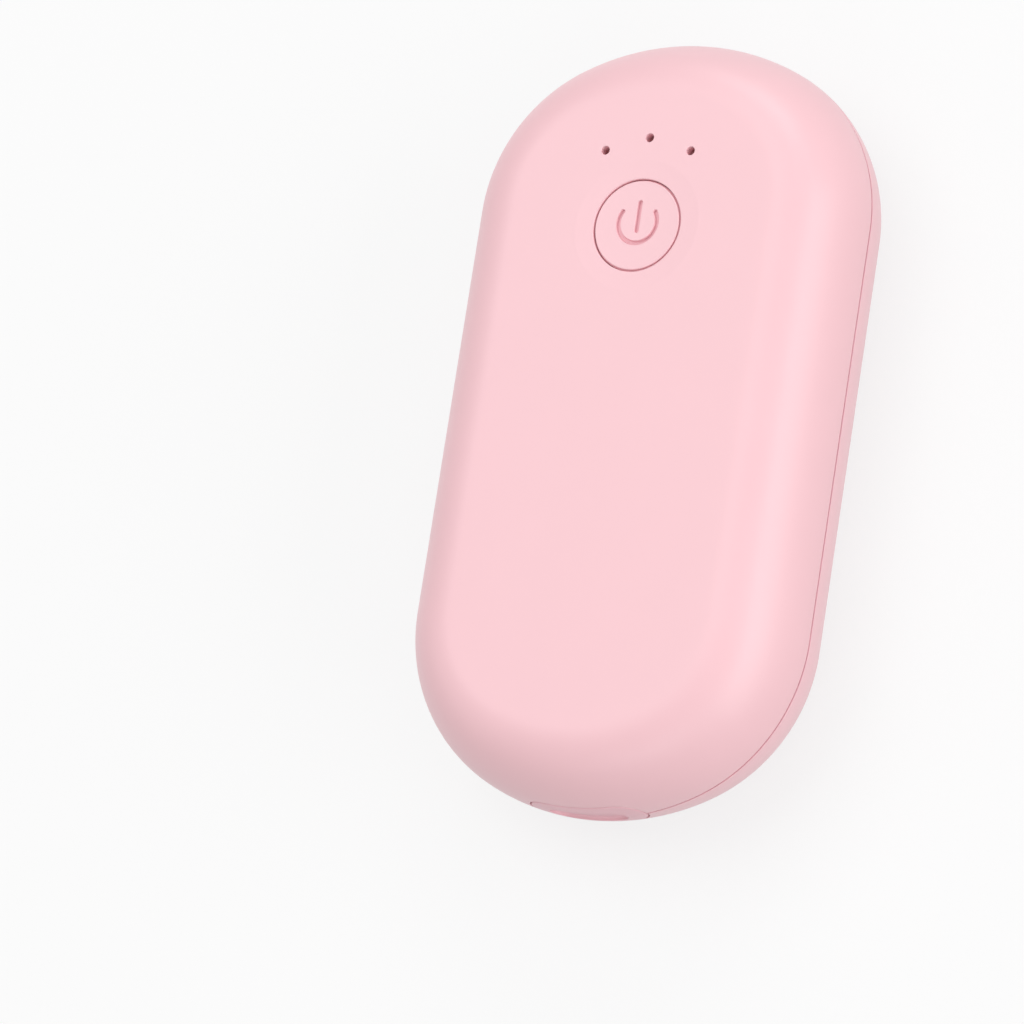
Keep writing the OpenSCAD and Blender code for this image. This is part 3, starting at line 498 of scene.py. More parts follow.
bodySize = {
    "width": 56.0, "length": 105.0, "thickness": 24.0,
    "endLength": 24.8, "shoulderRadius": 23.8,
    "edgeRun": 9.5, "edgeRadius": 8.0, "wall": 1.8,
    "grooveDepth": 0.25, "grooveHalf": 0.15, "grooveLip": 0.1,
}
columnCounts = {"straight": 84, "shoulder": 66, "buttonTip": 96, "portTip": 150}
rowCounts = {"edge": 17, "rim": 5, "insideButton": 12, "insidePanel": 10}
easeShares = (0.3, 0.6, 0.85)  # rows between two outlines, closer together at the end
lipMargin = 0.08  # from a lip to the row beside it
fineMargin = 0.06  # the same, for the holes and the cover
chamfer = 0.1

middle = bodySize["thickness"] / 2
flatInset = bodySize["edgeRun"]
edgeRadius = bodySize["edgeRadius"]
edgeRise = middle - edgeRadius
sideRadius = (flatInset ** 2 + edgeRise ** 2 - edgeRadius ** 2) / (2 * (flatInset - edgeRadius))
sideTurn = np.arctan2(edgeRise, sideRadius - flatInset)
caseOutline = Outline(
    bodySize["width"], bodySize["length"], bodySize["endLength"], bodySize["shoulderRadius"])
columns = outlineColumns(caseOutline.turn, columnCounts)


# Edge section at a turn, under the surface by depth: on the side arc, then on the edge arc
def edgeAt(turn, depth=0.0):
    onSide = turn <= sideTurn
    inset = np.where(
        onSide,
        sideRadius - (sideRadius - depth) * np.cos(turn),
        flatInset - (edgeRadius - depth) * np.cos(turn))
    rise = np.where(
        onSide,
        (sideRadius - depth) * np.sin(turn),
        edgeRise + (edgeRadius - depth) * np.sin(turn))
    return inset, rise


# Height over the parting plane at an inset: side arc, edge arc, then the flat
def riseAt(inset):
    onSide = inset < edgeAt(sideTurn)[0]
    side = np.sqrt(np.maximum(sideRadius ** 2 - (sideRadius - inset) ** 2, 0.0))
    held = np.clip(flatInset - inset, 0.0, edgeRadius)
    return np.where(onSide, side, edgeRise + np.sqrt(edgeRadius ** 2 - held ** 2))


# Inset of the side arc at a height over the parting plane, under the surface by depth
def sideInset(rise, depth=0.0):
    return sideRadius - np.sqrt((sideRadius - depth) ** 2 - rise ** 2)


# A quarter circle that rounds a lip: how far out over the face, and how far down the wall
def lipSteps(radius, count=4):
    turn = np.linspace(0.0, np.pi / 2, count + 1)
    return radius * (1 - np.sin(turn)), radius * (1 - np.cos(turn))


# Inset and rise of the outer edge's rows: the parting groove, its lip, then the arcs up to a turn.
# The arcs start at twice the height that the groove and its lip take.
def outerEdgeRows(lastTurn):
    out, down = lipSteps(bodySize["grooveLip"])
    firstTurn = 2.0 * (bodySize["grooveHalf"] + bodySize["grooveLip"]) / sideRadius
    steps = rowCounts["edge"]
    turns = [np.linspace(firstTurn, sideTurn, steps), np.linspace(sideTurn, lastTurn, steps)[1:]]
    arcInset, arcRise = edgeAt(np.concatenate(turns))
    inset = np.concatenate([[bodySize["grooveDepth"]] * 2, out, arcInset])
    rise = np.concatenate([[0.0, bodySize["grooveHalf"]], bodySize["grooveHalf"] + down, arcRise])
    return inset, rise


# The same for the inside of the wall, from the rim up; the first rows match the port's window
def innerEdgeRows(lastTurn, steps, portRows, portRise):
    wall = bodySize["wall"]
    rimRise = np.linspace(0.0, portRise, portRows + 1)
    rimInset = sideInset(rimRise, wall)
    portTurn = np.arcsin(portRise / (sideRadius - wall))
    turns = [
        np.linspace(portTurn, sideTurn, rowCounts["rim"])[1:],
        np.linspace(sideTurn, lastTurn, steps)[1:],
    ]
    arcInset, arcRise = edgeAt(np.concatenate(turns), wall)
    return np.concatenate([rimInset, arcInset]), np.concatenate([rimRise, arcRise])


# Rows round an outline: its points at the insets, at heights over (1) or under (-1) the parting plane
def rowsAt(outline, inset, rise, side):
    x, y = outline.at(columns, np.atleast_1d(inset)[:, None])
    z = np.broadcast_to(middle + side * np.atleast_1d(rise)[:, None], x.shape)
    return np.stack([x, y, z], axis=-1)


# Rows between two rows: (1 - share) * first + share * last
def rowsBetween(first, last, shares):
    share = np.asarray(shares)[:, None, None]
    return (1 - share) * first + share * last


# Numbers along a window's edge: up the rows at one column, across, and down at the other
def windowEdge(numbers, rowFrom, rowTo, columnFrom, columnTo):
    step = 1 if rowTo > rowFrom else -1
    up = numbers[np.arange(rowFrom, rowTo + step, step), columnFrom]
    across = numbers[rowTo, columnFrom + 1:columnTo]
    down = numbers[np.arange(rowTo, rowFrom - step, -step), columnTo]
    return np.concatenate([up, across, down])


# All round a window: its edge, then the row that it starts from, backwards
def windowLoop(numbers, rowFrom, rowTo, columnFrom, columnTo):
    edge = windowEdge(numbers, rowFrom, rowTo, columnFrom, columnTo)
    return np.concatenate([edge, numbers[rowFrom, columnFrom + 1:columnTo][::-1]])


portSize = {
    "coverWidth": 16.4, "coverHeight": 7.2, "coverThickness": 1.25, "coverGap": 0.18,
    "recess": 1.4, "lip": 0.12, "floorLip": 0.12,
    "apertureWidth": 9.54, "apertureHeight": 3.86, "blockY": -48.2,
    "windowHalf": 9.5, "windowRise": 4.75,
}
recessForm = (
    portSize["coverWidth"] + 2 * portSize["coverGap"],
    portSize["coverHeight"] + 2 * portSize["coverGap"])
apertureForm = portSize["apertureWidth"], portSize["apertureHeight"]


# Bearing of a point from the recess's oblong: its share of the spine, and the normal there
def bearingOf(x, rise):
    spineHalf = (recessForm[0] - recessForm[1]) / 2
    share = np.clip(x / spineHalf, -1.0, 1.0)
    way = np.hypot(x - share * spineHalf, rise)
    return share, (x - share * spineHalf) / way, rise / way


# Point of an oblong at a bearing: the spine's point + (the end's radius + out) * the normal
def oblongAt(bearing, width, height, out=0.0):
    share, normalX, normalRise = bearing
    radius = height / 2
    return share * (width / 2 - radius) + (radius + out) * normalX, (radius + out) * normalRise


# Point on the port end: y = -(tip centre + root of (tip radius - inset) squared - x squared)
def portEndAt(x, rise, depth, side):
    inset = sideInset(rise, depth)
    y = -(caseOutline.tipY + np.sqrt((caseOutline.tip - inset) ** 2 - x ** 2))
    return np.stack([x, y, middle + side * rise], axis=-1)


# Half of the port in a shell's window: rings from the window's edge over the recess's lip, down to
# its floor, over the aperture's lip and through to the wall's inside. The parting groove runs on
# to the recess, and two faces close the wall on the parting plane.
def cutPort(surface, outerEdge, innerEdge, outerInset, outerRise, side):
    size = portSize
    points = np.concatenate(surface.points)
    x = points[outerEdge, 0]
    rise = side * (points[outerEdge, 2] - middle)
    bearing = bearingOf(x, rise)
    grooveDepth = outerInset - sideInset(outerRise)
    groove = np.zeros(len(x))
    groove[:len(grooveDepth)] = grooveDepth
    groove[-len(grooveDepth):] = grooveDepth[::-1]
    out, down = lipSteps(size["lip"])
    floorOut, floorDown = lipSteps(size["floorLip"])
    lipX, lipRise = oblongAt(bearing, *recessForm, size["lip"])
    rings = [
        portEndAt((1 - share) * x + share * lipX, (1 - share) * rise + share * lipRise, groove, side)
        for share in easeShares
    ]
    for outStep, downStep in zip(out, down):
        depth = np.maximum(groove, downStep)
        rings.append(portEndAt(*oblongAt(bearing, *recessForm, outStep), depth, side))
    recessX, recessRise = oblongAt(bearing, *recessForm)
    mouthX, mouthRise = oblongAt(bearing, *apertureForm, size["floorLip"])
    floorDepth = np.full_like(x, size["recess"])
    rings.append(portEndAt(recessX, recessRise, 0.5 * floorDepth, side))
    rings.append(portEndAt(recessX, recessRise, floorDepth, side))
    rings.append(portEndAt(0.5 * (recessX + mouthX), 0.5 * (recessRise + mouthRise), floorDepth, side))
    for outStep, downStep in zip(floorOut, floorDown):
        rings.append(portEndAt(*oblongAt(bearing, *apertureForm, outStep), floorDepth + downStep, side))
    throat = rings[-1].copy()
    throat[:, 1] = size["blockY"]
    rings += [throat, 0.5 * (throat + points[innerEdge])]
    numbers = surface.add(np.stack(rings))
    every = np.vstack([outerEdge[None], numbers, innerEdge[None]])
    surface.weave(every, closed=False)
    surface.face(every[:, 0])
    surface.face(every[:, -1])


# How many of the outer edge's rows the port's window takes
def portRowsOf(outerRise):
    return int(np.searchsorted(outerRise, portSize["windowRise"]))


# Columns of the outline on both sides of the port
def portColumns():
    x, y = caseOutline.at(columns, 0.0)
    inside = np.flatnonzero((np.abs(x) < portSize["windowHalf"]) & (y < 0))
    return inside[0], inside[-1]


# A shell's faces: its rows from the parting plane round to the parting plane again, less the
# port's window in the outside and in the inside, which the port's own faces join
def weaveShell(surface, numbers, keep, outerInset, outerRise, side):
    rim = len(numbers) - 1
    portRows = portRowsOf(outerRise)
    left, right = portColumns()
    for first in (0, rim - portRows):
        keep[first:first + portRows, left:right] = False
    keep[rim, left:right] = False
    surface.weave(np.vstack([numbers, numbers[:1]]), keep=keep)
    outerEdge = windowEdge(numbers, 0, portRows, left, right)
    innerEdge = windowEdge(numbers, rim, rim - portRows, left, right)
    cutPort(surface, outerEdge, innerEdge, outerInset[:portRows + 1], outerRise[:portRows + 1], side)


buttonSize = {
    "fromEnd": 28.0, "capRadius": 6.1, "gap": 0.25, "dishRadius": 9.0, "dishDepth": 0.25,
    "lip": 0.12, "capLip": 0.14,
    "flatMargin": 0.15, "roundRadius": 15.0,
    "dishRows": (1.1, 0.35, 0.1, 0.0, -0.15, -0.8, -1.6, -2.2),
    "insideRows": (7.2, 9.0, 10.1), "insideShares": (0.0, 0.4, 0.75),
    "lightRadius": 12.0, "lightTurn": 31.5, "holeRadius": 0.6, "holeLip": 0.07, "holeLipSteps": 3,
    "windowHalf": 1.3, "windowRows": 11, "windowSlack": 0.1,
    "flangeRadius": 7.2, "flangeTop": 22.12, "flangeThickness": 0.8, "stemRadius": 1.5,
    "skirtGap": 0.08, "skirtTop": 23.5,
    "signRise": 0.4, "signRadius": 2.8, "signStroke": 0.56, "signDepth": 0.4, "signSoft": 0.12,
    "signOpen": 58.0, "barTop": 2.75, "barBottom": -1.1,
    "capColumns": 600, "signRims": (3.26, 3.42, 3.6),
    "signBands": ((0.03, 2.4, 42), (2.42, 2.62, 11), (2.68, 2.92, 4), (2.98, 3.18, 11)),
}
buttonY = bodySize["length"] / 2 - buttonSize["fromEnd"]
openingRadius = buttonSize["capRadius"] + buttonSize["gap"]
topZ = bodySize["thickness"]
ceilingZ = topZ - bodySize["wall"]
dishSphere = (buttonSize["dishRadius"] ** 2 + buttonSize["dishDepth"] ** 2) / (2 * buttonSize["dishDepth"])


# Height of the finger dish: the flat, less what a large sphere takes away inside the dish's edge
def dishZ(radius):
    low = topZ - buttonSize["dishDepth"] + dishSphere - np.sqrt(dishSphere ** 2 - radius ** 2)
    return np.minimum(low, topZ)


# A round light hole through the wall: rings from the window's edge to the lip and down the bore
def cutLight(surface, outerLoop, innerLoop, turn):
    size = buttonSize
    centre = size["lightRadius"] * np.cos(turn), buttonY + size["lightRadius"] * np.sin(turn)
    points = np.concatenate(surface.points)
    away = np.arctan2(points[outerLoop, 1] - centre[1], points[outerLoop, 0] - centre[0])
    way = np.hypot(points[outerLoop, 1] - centre[1], points[outerLoop, 0] - centre[0])
    out, down = lipSteps(size["holeLip"], size["holeLipSteps"])
    brimRadius = size["holeRadius"] + size["holeLip"] + fineMargin
    reaches = [0.5 * (way + brimRadius), np.full_like(way, brimRadius)]
    reaches += [np.full_like(way, size["holeRadius"] + step) for step in out]
    reaches += [np.full_like(way, size["holeRadius"])]
    heights = [topZ, topZ] + list(topZ - down) + [ceilingZ]
    rings = [
        np.stack([centre[0] + r * np.cos(away), centre[1] + r * np.sin(away), np.full_like(r, z)], axis=-1)
        for r, z in zip(reaches, heights)
    ]
    numbers = surface.add(np.stack(rings))
    surface.weave(np.vstack([outerLoop[None], numbers, innerLoop[None]]))


# Shell on the button side: edge, flat, finger dish, button opening, light holes, inside and rim
def makeButtonSideShell():
    size = buttonSize
    surface = Surface()
    outerInset, outerRise = outerEdgeRows(np.pi / 2)
    portRows = portRowsOf(outerRise)
    innerInset, innerRise = innerEdgeRows(
        np.pi / 2, rowCounts["insideButton"], portRows, outerRise[portRows])
    flat = rowsAt(caseOutline, flatInset + size["flatMargin"], middle, 1)[0]
    innerFlat = rowsAt(caseOutline, innerInset[-1:], innerRise[-1:], 1)[0]
    around = np.arctan2(flat[:, 1] - buttonY, flat[:, 0])

    # Rows of circles round the button
    def circles(radius, z):
        radius = np.asarray(radius, float)[:, None]
        x = radius * np.cos(around)
        y = buttonY + radius * np.sin(around)
        return np.stack([x, y, np.broadcast_to(np.asarray(z, float)[:, None], x.shape)], axis=-1)

    half = size["windowHalf"]
    windowRadii = size["lightRadius"] + np.linspace(half, -half, size["windowRows"])
    dishRadii = size["dishRadius"] + np.array(size["dishRows"])
    radii = np.concatenate([windowRadii, dishRadii, [openingRadius + size["lip"] + lipMargin]])
    insideRadii = np.concatenate([size["insideRows"], windowRadii[::-1]])
    out, down = lipSteps(size["lip"])
    lipZ = dishZ(openingRadius + out) - down
    outer = [
        rowsAt(caseOutline, outerInset, outerRise, 1),
        rowsBetween(flat, circles([size["roundRadius"]], [topZ])[0], (0.0, *easeShares, 1.0)),
        circles(radii, dishZ(radii)),
        circles(openingRadius + out, lipZ),
        circles([openingRadius] * 2, [0.5 * (lipZ[-1] + ceilingZ), ceilingZ]),
    ]
    inner = [
        circles(insideRadii, np.full(len(insideRadii), ceilingZ)),
        rowsBetween(circles([size["roundRadius"]], [ceilingZ])[0], innerFlat, size["insideShares"]),
        rowsAt(caseOutline, innerInset[::-1], innerRise[::-1], 1),
    ]
    numbers = surface.add(np.concatenate(outer + inner))
    keep = np.ones(numbers.shape, bool)

    # Each light hole joins a window in the outside to one in the inside
    outerFirst = len(outer[0]) + len(outer[1])
    innerFirst = sum(len(part) for part in outer) + len(size["insideRows"])
    last = size["windowRows"] - 1
    for turn in np.radians(90.0 + size["lightTurn"] * np.array([-1.0, 0.0, 1.0])):
        near = np.flatnonzero(np.abs(around - turn) * size["lightRadius"] < half + size["windowSlack"])
        for first in (outerFirst, innerFirst):
            keep[first:first + last, near[0]:near[-1]] = False
        outerLoop = windowLoop(numbers, outerFirst, outerFirst + last, near[0], near[-1])
        innerLoop = windowLoop(numbers, innerFirst + last, innerFirst, near[0], near[-1])
        cutLight(surface, outerLoop, innerLoop, turn)

    weaveShell(surface, numbers, keep, outerInset, outerRise, 1)
    surface.piece("button_side_cover", "shell_pink", "case", ["button_side_shell"])


makeButtonSideShell()

panelSize = {
    "width": 41.2, "length": 83.6, "endLength": 19.4, "shoulderRadius": 17.2, "middleY": 3.5,
    "gap": 0.25, "thickness": 1.2, "lip": 0.16, "pocketLip": 0.12,
    "pocketZ": 1.35, "floorZ": 2.75, "blendInset": 5.5, "blendRows": 16,
    "windowWidth": 30.0, "windowLength": 53.7, "windowEnd": 3.2, "windowCorner": 3.0, "windowY": 1.75,
    "pocketShares": (0.06, 0.5), "insideShares": (0.5,),
    "coreInset": 4.0, "coreShares": (0.04, 0.25, 0.5, 0.7, 0.85),
    "faceInsets": (4.0, 3.2, 2.5, 1.9, 1.4, 1.0, 0.7, 0.45),
}
pocket = Outline(
    panelSize["width"], panelSize["length"], panelSize["endLength"],
    panelSize["shoulderRadius"], panelSize["middleY"])
heatingWindow = Outline(
    panelSize["windowWidth"], panelSize["windowLength"], panelSize["windowEnd"],
    panelSize["windowCorner"], panelSize["windowY"])


# Height of the panel side's outer face: the edge section at the point's inset, upside down
def panelFaceZ(x, y):
    return middle - riseAt(caseOutline.insetAt(x, y))


# Rows round an outline at an inset, on the panel side's outer face or in from it by depth
def faceRows(outline, inset, depth):
    x, y = outline.at(columns, np.atleast_1d(inset)[:, None])
    return np.stack([x, y, panelFaceZ(x, y) + np.atleast_1d(depth)[:, None]], axis=-1)


# Rows round an outline at one height
def levelRows(outline, inset, z):
    x, y = outline.at(columns, np.atleast_1d(inset)[:, None])
    return np.stack([x, y, np.full_like(x, z)], axis=-1)


# Shell on the panel side: edge, blend onto the panel's pocket, pocket, heating window, inside, rim
def makePanelSideShell():
    size = panelSize
    surface = Surface()
    blendTurn = np.arccos((flatInset - size["blendInset"]) / edgeRadius)
    floorTurn = np.arcsin((middle - size["floorZ"] - edgeRise) / (edgeRadius - bodySize["wall"]))
    outerInset, outerRise = outerEdgeRows(blendTurn)
    portRows = portRowsOf(outerRise)
    innerInset, innerRise = innerEdgeRows(
        floorTurn, rowCounts["insidePanel"], portRows, outerRise[portRows])
    x, y = caseOutline.at(columns, size["blendInset"])
    pocketX, pocketY = pocket.at(columns, -size["pocketLip"] - lipMargin)
    share = np.linspace(0.0, 1.0, size["blendRows"])[1:, None]
    blendX, blendY = (1 - share) * x + share * pocketX, (1 - share) * y + share * pocketY
    out, down = lipSteps(size["pocketLip"])
    pocketFloor = levelRows(pocket, 0.0, size["pocketZ"])
    windowFloor = levelRows(heatingWindow, 0.0, size["pocketZ"])
    windowInside = levelRows(heatingWindow, 0.0, size["floorZ"])
    inside = rowsAt(caseOutline, innerInset[::-1], innerRise[::-1], -1)
    numbers = surface.add(np.concatenate([
        rowsAt(caseOutline, outerInset, outerRise, -1),
        np.stack([blendX, blendY, panelFaceZ(blendX, blendY)], axis=-1),
        faceRows(pocket, -out, down),
        pocketFloor,
        rowsBetween(pocketFloor[0], windowFloor[0], size["pocketShares"]),
        windowFloor,
        windowInside,
        rowsBetween(windowInside[0], inside[0], size["insideShares"]),
        inside,
    ]))
    weaveShell(surface, numbers, np.ones(numbers.shape, bool), outerInset, outerRise, -1)
    surface.piece("panel_side_cover", "shell_pink", "case", ["panel_side_shell"])


makePanelSideShell()


# Face panel: a thin plate whose face follows the body's, with a rounded edge
def makeFacePanel():
    size = panelSize
    surface = Surface()
    gap, thick = size["gap"], size["thickness"]
    core = levelRows(pocket, gap + size["coreInset"], 0.0)[0]
    centre = np.array([0.0, size["middleY"], 0.0])
    faceCore = rowsBetween(centre, core, size["coreShares"])
    insideCore = faceCore[::-1].copy()
    faceCore[..., 2] = panelFaceZ(faceCore[..., 0], faceCore[..., 1])
    insideCore[..., 2] = thick
    out, down = lipSteps(size["lip"])
    insets = np.array([*size["faceInsets"], size["lip"] + lipMargin])
    numbers = surface.add(np.concatenate([
        faceCore,
        faceRows(pocket, gap + insets, np.zeros(len(insets))),
        faceRows(pocket, gap + out, down),
        levelRows(pocket, gap, thick - chamfer),
        levelRows(pocket, [gap + chamfer, gap + size["coreInset"]], thick),
        insideCore,
    ]))
    surface.weave(numbers)
    surface.pole(numbers[0], [0.0, size["middleY"], 0.0])
    surface.pole(numbers[-1], [0.0, size["middleY"], thick])
    surface.piece("face_plate", "panel_pink", "case", ["face_panel"])


makeFacePanel()


# Depth of the power sign's engraving by the distance to its stroke: full inside it, nought outside,
# and over the soft wall between them a smooth step, share squared * (3 - 2 * share)
def signDepth(x, y):
    size = buttonSize
    ringTurn = np.arctan2(np.abs(x), y)
    opened = np.radians(size["signOpen"])
    endX, endY = size["signRadius"] * np.sin(opened), size["signRadius"] * np.cos(opened)
    toRing = np.abs(np.hypot(x, y) - size["signRadius"])
    toEnd = np.hypot(np.abs(x) - endX, y - endY)
    toBar = np.hypot(x, y - np.clip(y, size["barBottom"], size["barTop"]))
    nearest = np.minimum(np.where(ringTurn > opened, toRing, toEnd), toBar)
    share = np.clip((size["signStroke"] / 2 + size["signSoft"] / 2 - nearest) / size["signSoft"], 0, 1)
    return size["signDepth"] * share * share * (3 - 2 * share)


# Button: dished cap with the engraved sign, rounded rim, skirt, flange and the stem over the switch
def makePowerButton():
    size = buttonSize
    surface = Surface()
    turn = np.linspace(0.0, 2 * np.pi, size["capColumns"], endpoint=False)
    signY = buttonY + size["signRise"]
    signBands = [np.linspace(*band) for band in size["signBands"]]
    signRows = np.concatenate([*signBands, size["signRims"]])[:, None]
    signX, signUp = signRows * np.cos(turn), signRows * np.sin(turn)
    capRadius = size["capRadius"]
    bend = np.array([*easeShares, 1.0])[:, None]
    brimRadius = capRadius - size["capLip"] - lipMargin
    brimX, brimUp = brimRadius * np.cos(turn), brimRadius * np.sin(turn) - size["signRise"]
    x = np.concatenate([signX, (1 - bend) * signX[-1] + bend * brimX])
    up = np.concatenate([signUp, (1 - bend) * signUp[-1] + bend * brimUp])
    z = dishZ(np.hypot(x, up + size["signRise"])) - signDepth(x, up)
    cap = np.stack([x, signY + up, z], axis=-1)
    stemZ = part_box("power_button")[0][2] / millimetre
    flangeLow = size["flangeTop"] - size["flangeThickness"]
    skirtRadius = openingRadius - size["skirtGap"]
    out, down = lipSteps(size["capLip"])
    # Radius and height from the cap's rim down to the stem
    profile = [(capRadius - step, dishZ(capRadius) - fall) for step, fall in zip(out, down)]
    profile += [
        (capRadius, size["skirtTop"]), (skirtRadius, size["skirtTop"] - chamfer),
        (skirtRadius, size["flangeTop"]), (size["flangeRadius"] - chamfer, size["flangeTop"]),
        (size["flangeRadius"], size["flangeTop"] - chamfer), (size["flangeRadius"], flangeLow),
        (size["stemRadius"], flangeLow), (size["stemRadius"], stemZ + chamfer),
        (size["stemRadius"] - chamfer, stemZ),
    ]
    radius, height = np.array(profile).T[:, :, None]
    ringX, ringY = radius * np.cos(turn), buttonY + radius * np.sin(turn)
    rim = np.stack([ringX, ringY, np.broadcast_to(height, ringX.shape)], axis=-1)
    numbers = surface.add(np.concatenate([cap, rim]))
    surface.weave(numbers)
    surface.pole(numbers[0], [0.0, signY, dishZ(size["signRise"]) - size["signDepth"]])
    surface.pole(numbers[-1], [0.0, buttonY, stemZ])
    surface.piece("round_button", "button_pink", "button", ["power_button"])


makePowerButton()


coverSize = {
    "lip": 0.2, "scoopWidth": 11.0, "scoopHeight": 3.9, "scoopDepth": 0.6,
    "scoopLip": 0.14, "scoopFillet": 0.4, "filletRows": 5, "filletMargin": 0.05,
    "scoopScales": (0.03, 0.25, 0.5, 0.75, 1.0), "pastScoop": 0.5, "beforeEdge": 0.6,
    "plugWidth": 8.74, "plugHeight": 3.06, "plugY": -50.5, "plugFoot": 0.05, "plugChamfer": 0.12,
    "plugCore": 0.1, "straightColumns": 40, "roundColumns": 40,
}


# Columns of an oblong: the spine's share and the normal, round from the right end
def oblongColumns(straight, roundEnd):
    turns, shares = [], []
    for start, share in ((-0.5, 1.0), (0.5, -1.0)):
        turns += [np.linspace(start, start + 1.0, roundEnd, endpoint=False) * np.pi]
        shares += [np.full(roundEnd, share)]
        turns += [np.full(straight, (start + 1.0) * np.pi)]
        shares += [np.linspace(share, -share, straight, endpoint=False)]
    turn = np.concatenate(turns)
    return np.concatenate(shares), np.cos(turn), np.sin(turn)


# Port cover: face on the body's own curve with a fingernail scoop, rounded edge, back and plug
def makePortCover():
    size = coverSize
    surface = Surface()
    bearing = oblongColumns(size["straightColumns"], size["roundColumns"])
    cover = portSize["coverWidth"], portSize["coverHeight"]
    scoop = size["scoopWidth"], size["scoopHeight"]
    plug = size["plugWidth"], size["plugHeight"]
    thick = portSize["coverThickness"]
    out, down = lipSteps(size["lip"])
    scoopOut, scoopDown = lipSteps(size["scoopLip"])
    filletIn, filletUp = lipSteps(size["scoopFillet"], size["filletRows"])
    rings = []

    # One ring: an oblong grown by out, under the body's surface by depth
    def ring(form, grow, depth, scale=1.0):
        x, rise = oblongAt(bearing, *form, grow)
        rings.append(portEndAt(scale * x, scale * rise, np.full_like(x, depth), 1))

    # One level ring of the plug
    def plugRing(grow, y, scale=1.0):
        x, rise = oblongAt(bearing, *plug, grow)
        rings.append(np.stack([scale * x, np.full_like(x, y), middle + scale * rise], axis=-1))

    for scale in size["scoopScales"]:
        ring(scoop, -size["scoopFillet"] - size["filletMargin"], size["scoopDepth"], scale)
    for step, lift in zip(filletIn, filletUp):
        ring(scoop, -step, size["scoopDepth"] - lift)
    for step, fall in zip(scoopOut[::-1], scoopDown[::-1]):
        ring(scoop, step, fall)
    ring(scoop, size["scoopLip"] + fineMargin, 0.0)
    ring(scoop, size["pastScoop"], 0.0)
    ring(cover, -size["beforeEdge"], 0.0)
    ring(cover, -size["lip"] - fineMargin, 0.0)
    for step, fall in zip(out, down):
        ring(cover, -step, fall)
    ring(cover, 0.0, thick - chamfer)
    ring(cover, -chamfer, thick)
    ring(plug, size["plugFoot"], thick)
    ring(plug, 0.0, thick + size["plugFoot"])
    plugRing(0.0, size["plugY"] - size["plugChamfer"])
    plugRing(-size["plugChamfer"], size["plugY"])
    plugRing(-size["plugChamfer"], size["plugY"], size["plugCore"])
    numbers = surface.add(np.stack(rings))
    surface.weave(numbers)
    front = portEndAt(np.zeros(1), np.zeros(1), np.array([size["scoopDepth"]]), 1)[0]
    surface.pole(numbers[0], front)
    surface.pole(numbers[-1], [0.0, size["plugY"], middle])
    surface.piece("port_flap", "cover_pink", "port_cover", ["port_cover"])


makePortCover()


# One where the camera, a reflection or a clear part looks, nought for light on its way to the object
def seenRay(tree):
    camera = tree.node("ShaderNodeLightPath", output="Is Camera Ray")
    glossy, clear = camera.sibling("Is Glossy Ray"), camera.sibling("Is Transmission Ray")
    return camera.orMore(glossy).orMore(clear)


floorPlan = {
    "reach": 3.0, "drop": 0.00005, "bounce": 0.45, "seen": 0.95, "white": 0.965,
    "nearShare": 0.78, "nearDistance": 0.09, "farDistance": 0.4,
}


# Floor: plain white where it is seen from afar, and near the object partly a matt white that keeps
# the object's soft shadow. It lies a hair under the object, so that the two never share a plane.
def makeFloor():
    plan = floorPlan
    finish = Finish("floor_white")
    seen = seenRay(finish)
    distance = finish.node("ShaderNodeVectorMath", {"operation": "LENGTH"}, {0: finish.place}, "Value")
    share = finish.spread(
        distance, plan["nearDistance"], plan["farDistance"], plan["nearShare"], 1.0)
    colour = finish.mixColour(seen, grey(plan["bounce"]), grey(plan["seen"]))
    diffuse = finish.node("ShaderNodeBsdfDiffuse", None, {"Color": colour})
    plain = finish.node("ShaderNodeEmission", None, {"Color": grey(plan["white"])})
    mixed = finish.node("ShaderNodeMixShader", None, {0: seen * share, 1: diffuse, 2: plain})
    finish.node("ShaderNodeOutputMaterial", None, {"Surface": mixed})
    reach, low = plan["reach"], -plan["drop"]
    corners = [(-reach, -reach, low), (reach, -reach, low), (reach, reach, low), (-reach, reach, low)]
    mesh = bpy.data.meshes.new("floor")
    mesh.from_pydata(corners, [], [(0, 1, 2, 3)])
    mesh.materials.append(finish.material)
    floor = bpy.data.objects.new("floor", mesh)
    bpy.context.scene.collection.objects.link(floor)


worldPlan = {"strength": 0.455, "seen": 0.965}


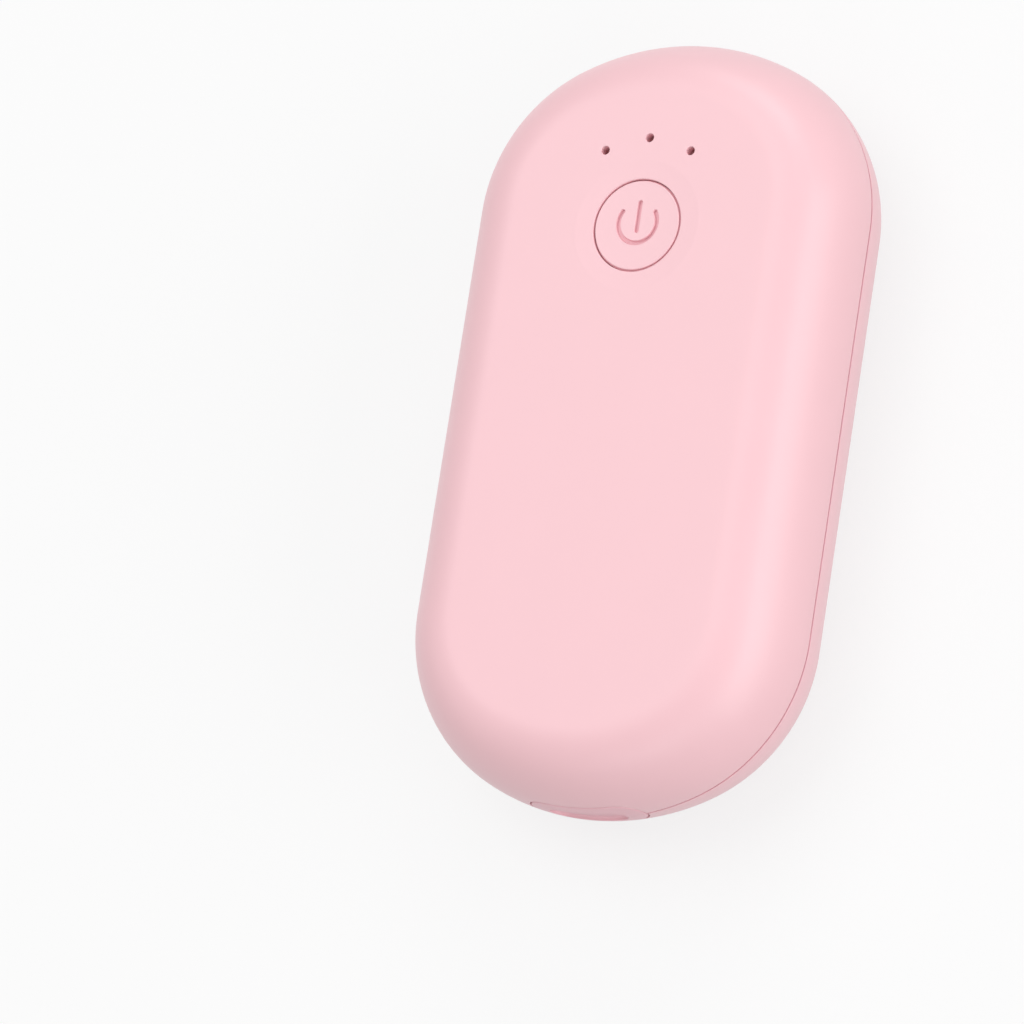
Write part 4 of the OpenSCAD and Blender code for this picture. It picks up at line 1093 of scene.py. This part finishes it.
# World: plain light from all round, seen as white
def makeWorld():
    world = bpy.data.worlds.new("studio")
    world.use_nodes = True
    sky = NodeTree(world.node_tree)
    plain = sky.node("ShaderNodeBackground", None, {"Color": grey(1.0), "Strength": worldPlan["strength"]})
    white = sky.node("ShaderNodeBackground", None, {"Color": grey(worldPlan["seen"]), "Strength": 1.0})
    mixed = sky.node("ShaderNodeMixShader", None, {0: seenRay(sky), 1: plain, 2: white})
    sky.node("ShaderNodeOutputWorld", None, {"Surface": mixed})
    bpy.context.scene.world = world


# Soft lamps round the object: metres and watts
lampPlans = {
    "above": {"at": (-0.5, 0.45, 1.5), "size": (1.3, 1.3), "power": 9.2},
    "right": {"at": (1.12, -0.12, 0.4), "size": (1.5, 0.75), "power": 8.8},
    "behind": {"at": (0.1, 1.1, 0.6), "size": (0.9, 0.5), "power": 3.6},
    "left": {"at": (-1.1, -0.2, 0.7), "size": (0.9, 0.6), "power": 0.9},
    "front": {"at": (0.2, -1.2, 0.7), "size": (0.9, 0.6), "power": 2.2},
}


# A soft lamp turned to the object: its angle from straight down, then its bearing
def makeLamp(name, plan):
    lamp = bpy.data.lights.new(name, "AREA")
    lamp.shape = "RECTANGLE"
    lamp.size, lamp.size_y = plan["size"]
    lamp.energy = plan["power"]
    made = bpy.data.objects.new(name, lamp)
    x, y, z = plan["at"]
    made.location = plan["at"]
    made.rotation_euler = (np.arctan2(np.hypot(x, y), z), 0.0, np.arctan2(x, -y))
    bpy.context.scene.collection.objects.link(made)


# Camera of the photograph: where it stands over the button side, in metres, and how it turns
cameraPlan = {
    "at": (0.3782, -0.1930, 0.7248), "turn": (17.14, 26.78, 9.84),
    "lens": 221.3, "sensor": 36.0, "nearest": 0.01,
}


# The camera, its turn given in degrees
def makeCamera():
    camera = bpy.data.cameras.new("view")
    camera.lens = cameraPlan["lens"]
    camera.sensor_width = cameraPlan["sensor"]
    camera.clip_start = cameraPlan["nearest"]
    made = bpy.data.objects.new("view", camera)
    made.location = cameraPlan["at"]
    made.rotation_euler = np.radians(cameraPlan["turn"])
    bpy.context.scene.collection.objects.link(made)
    bpy.context.scene.camera = made


makeFloor()
for name, plan in lampPlans.items():
    makeLamp(name, plan)
makeWorld()
makeCamera()
bpy.context.scene.view_settings.view_transform = "Standard"
print("stage, lamps and camera made")
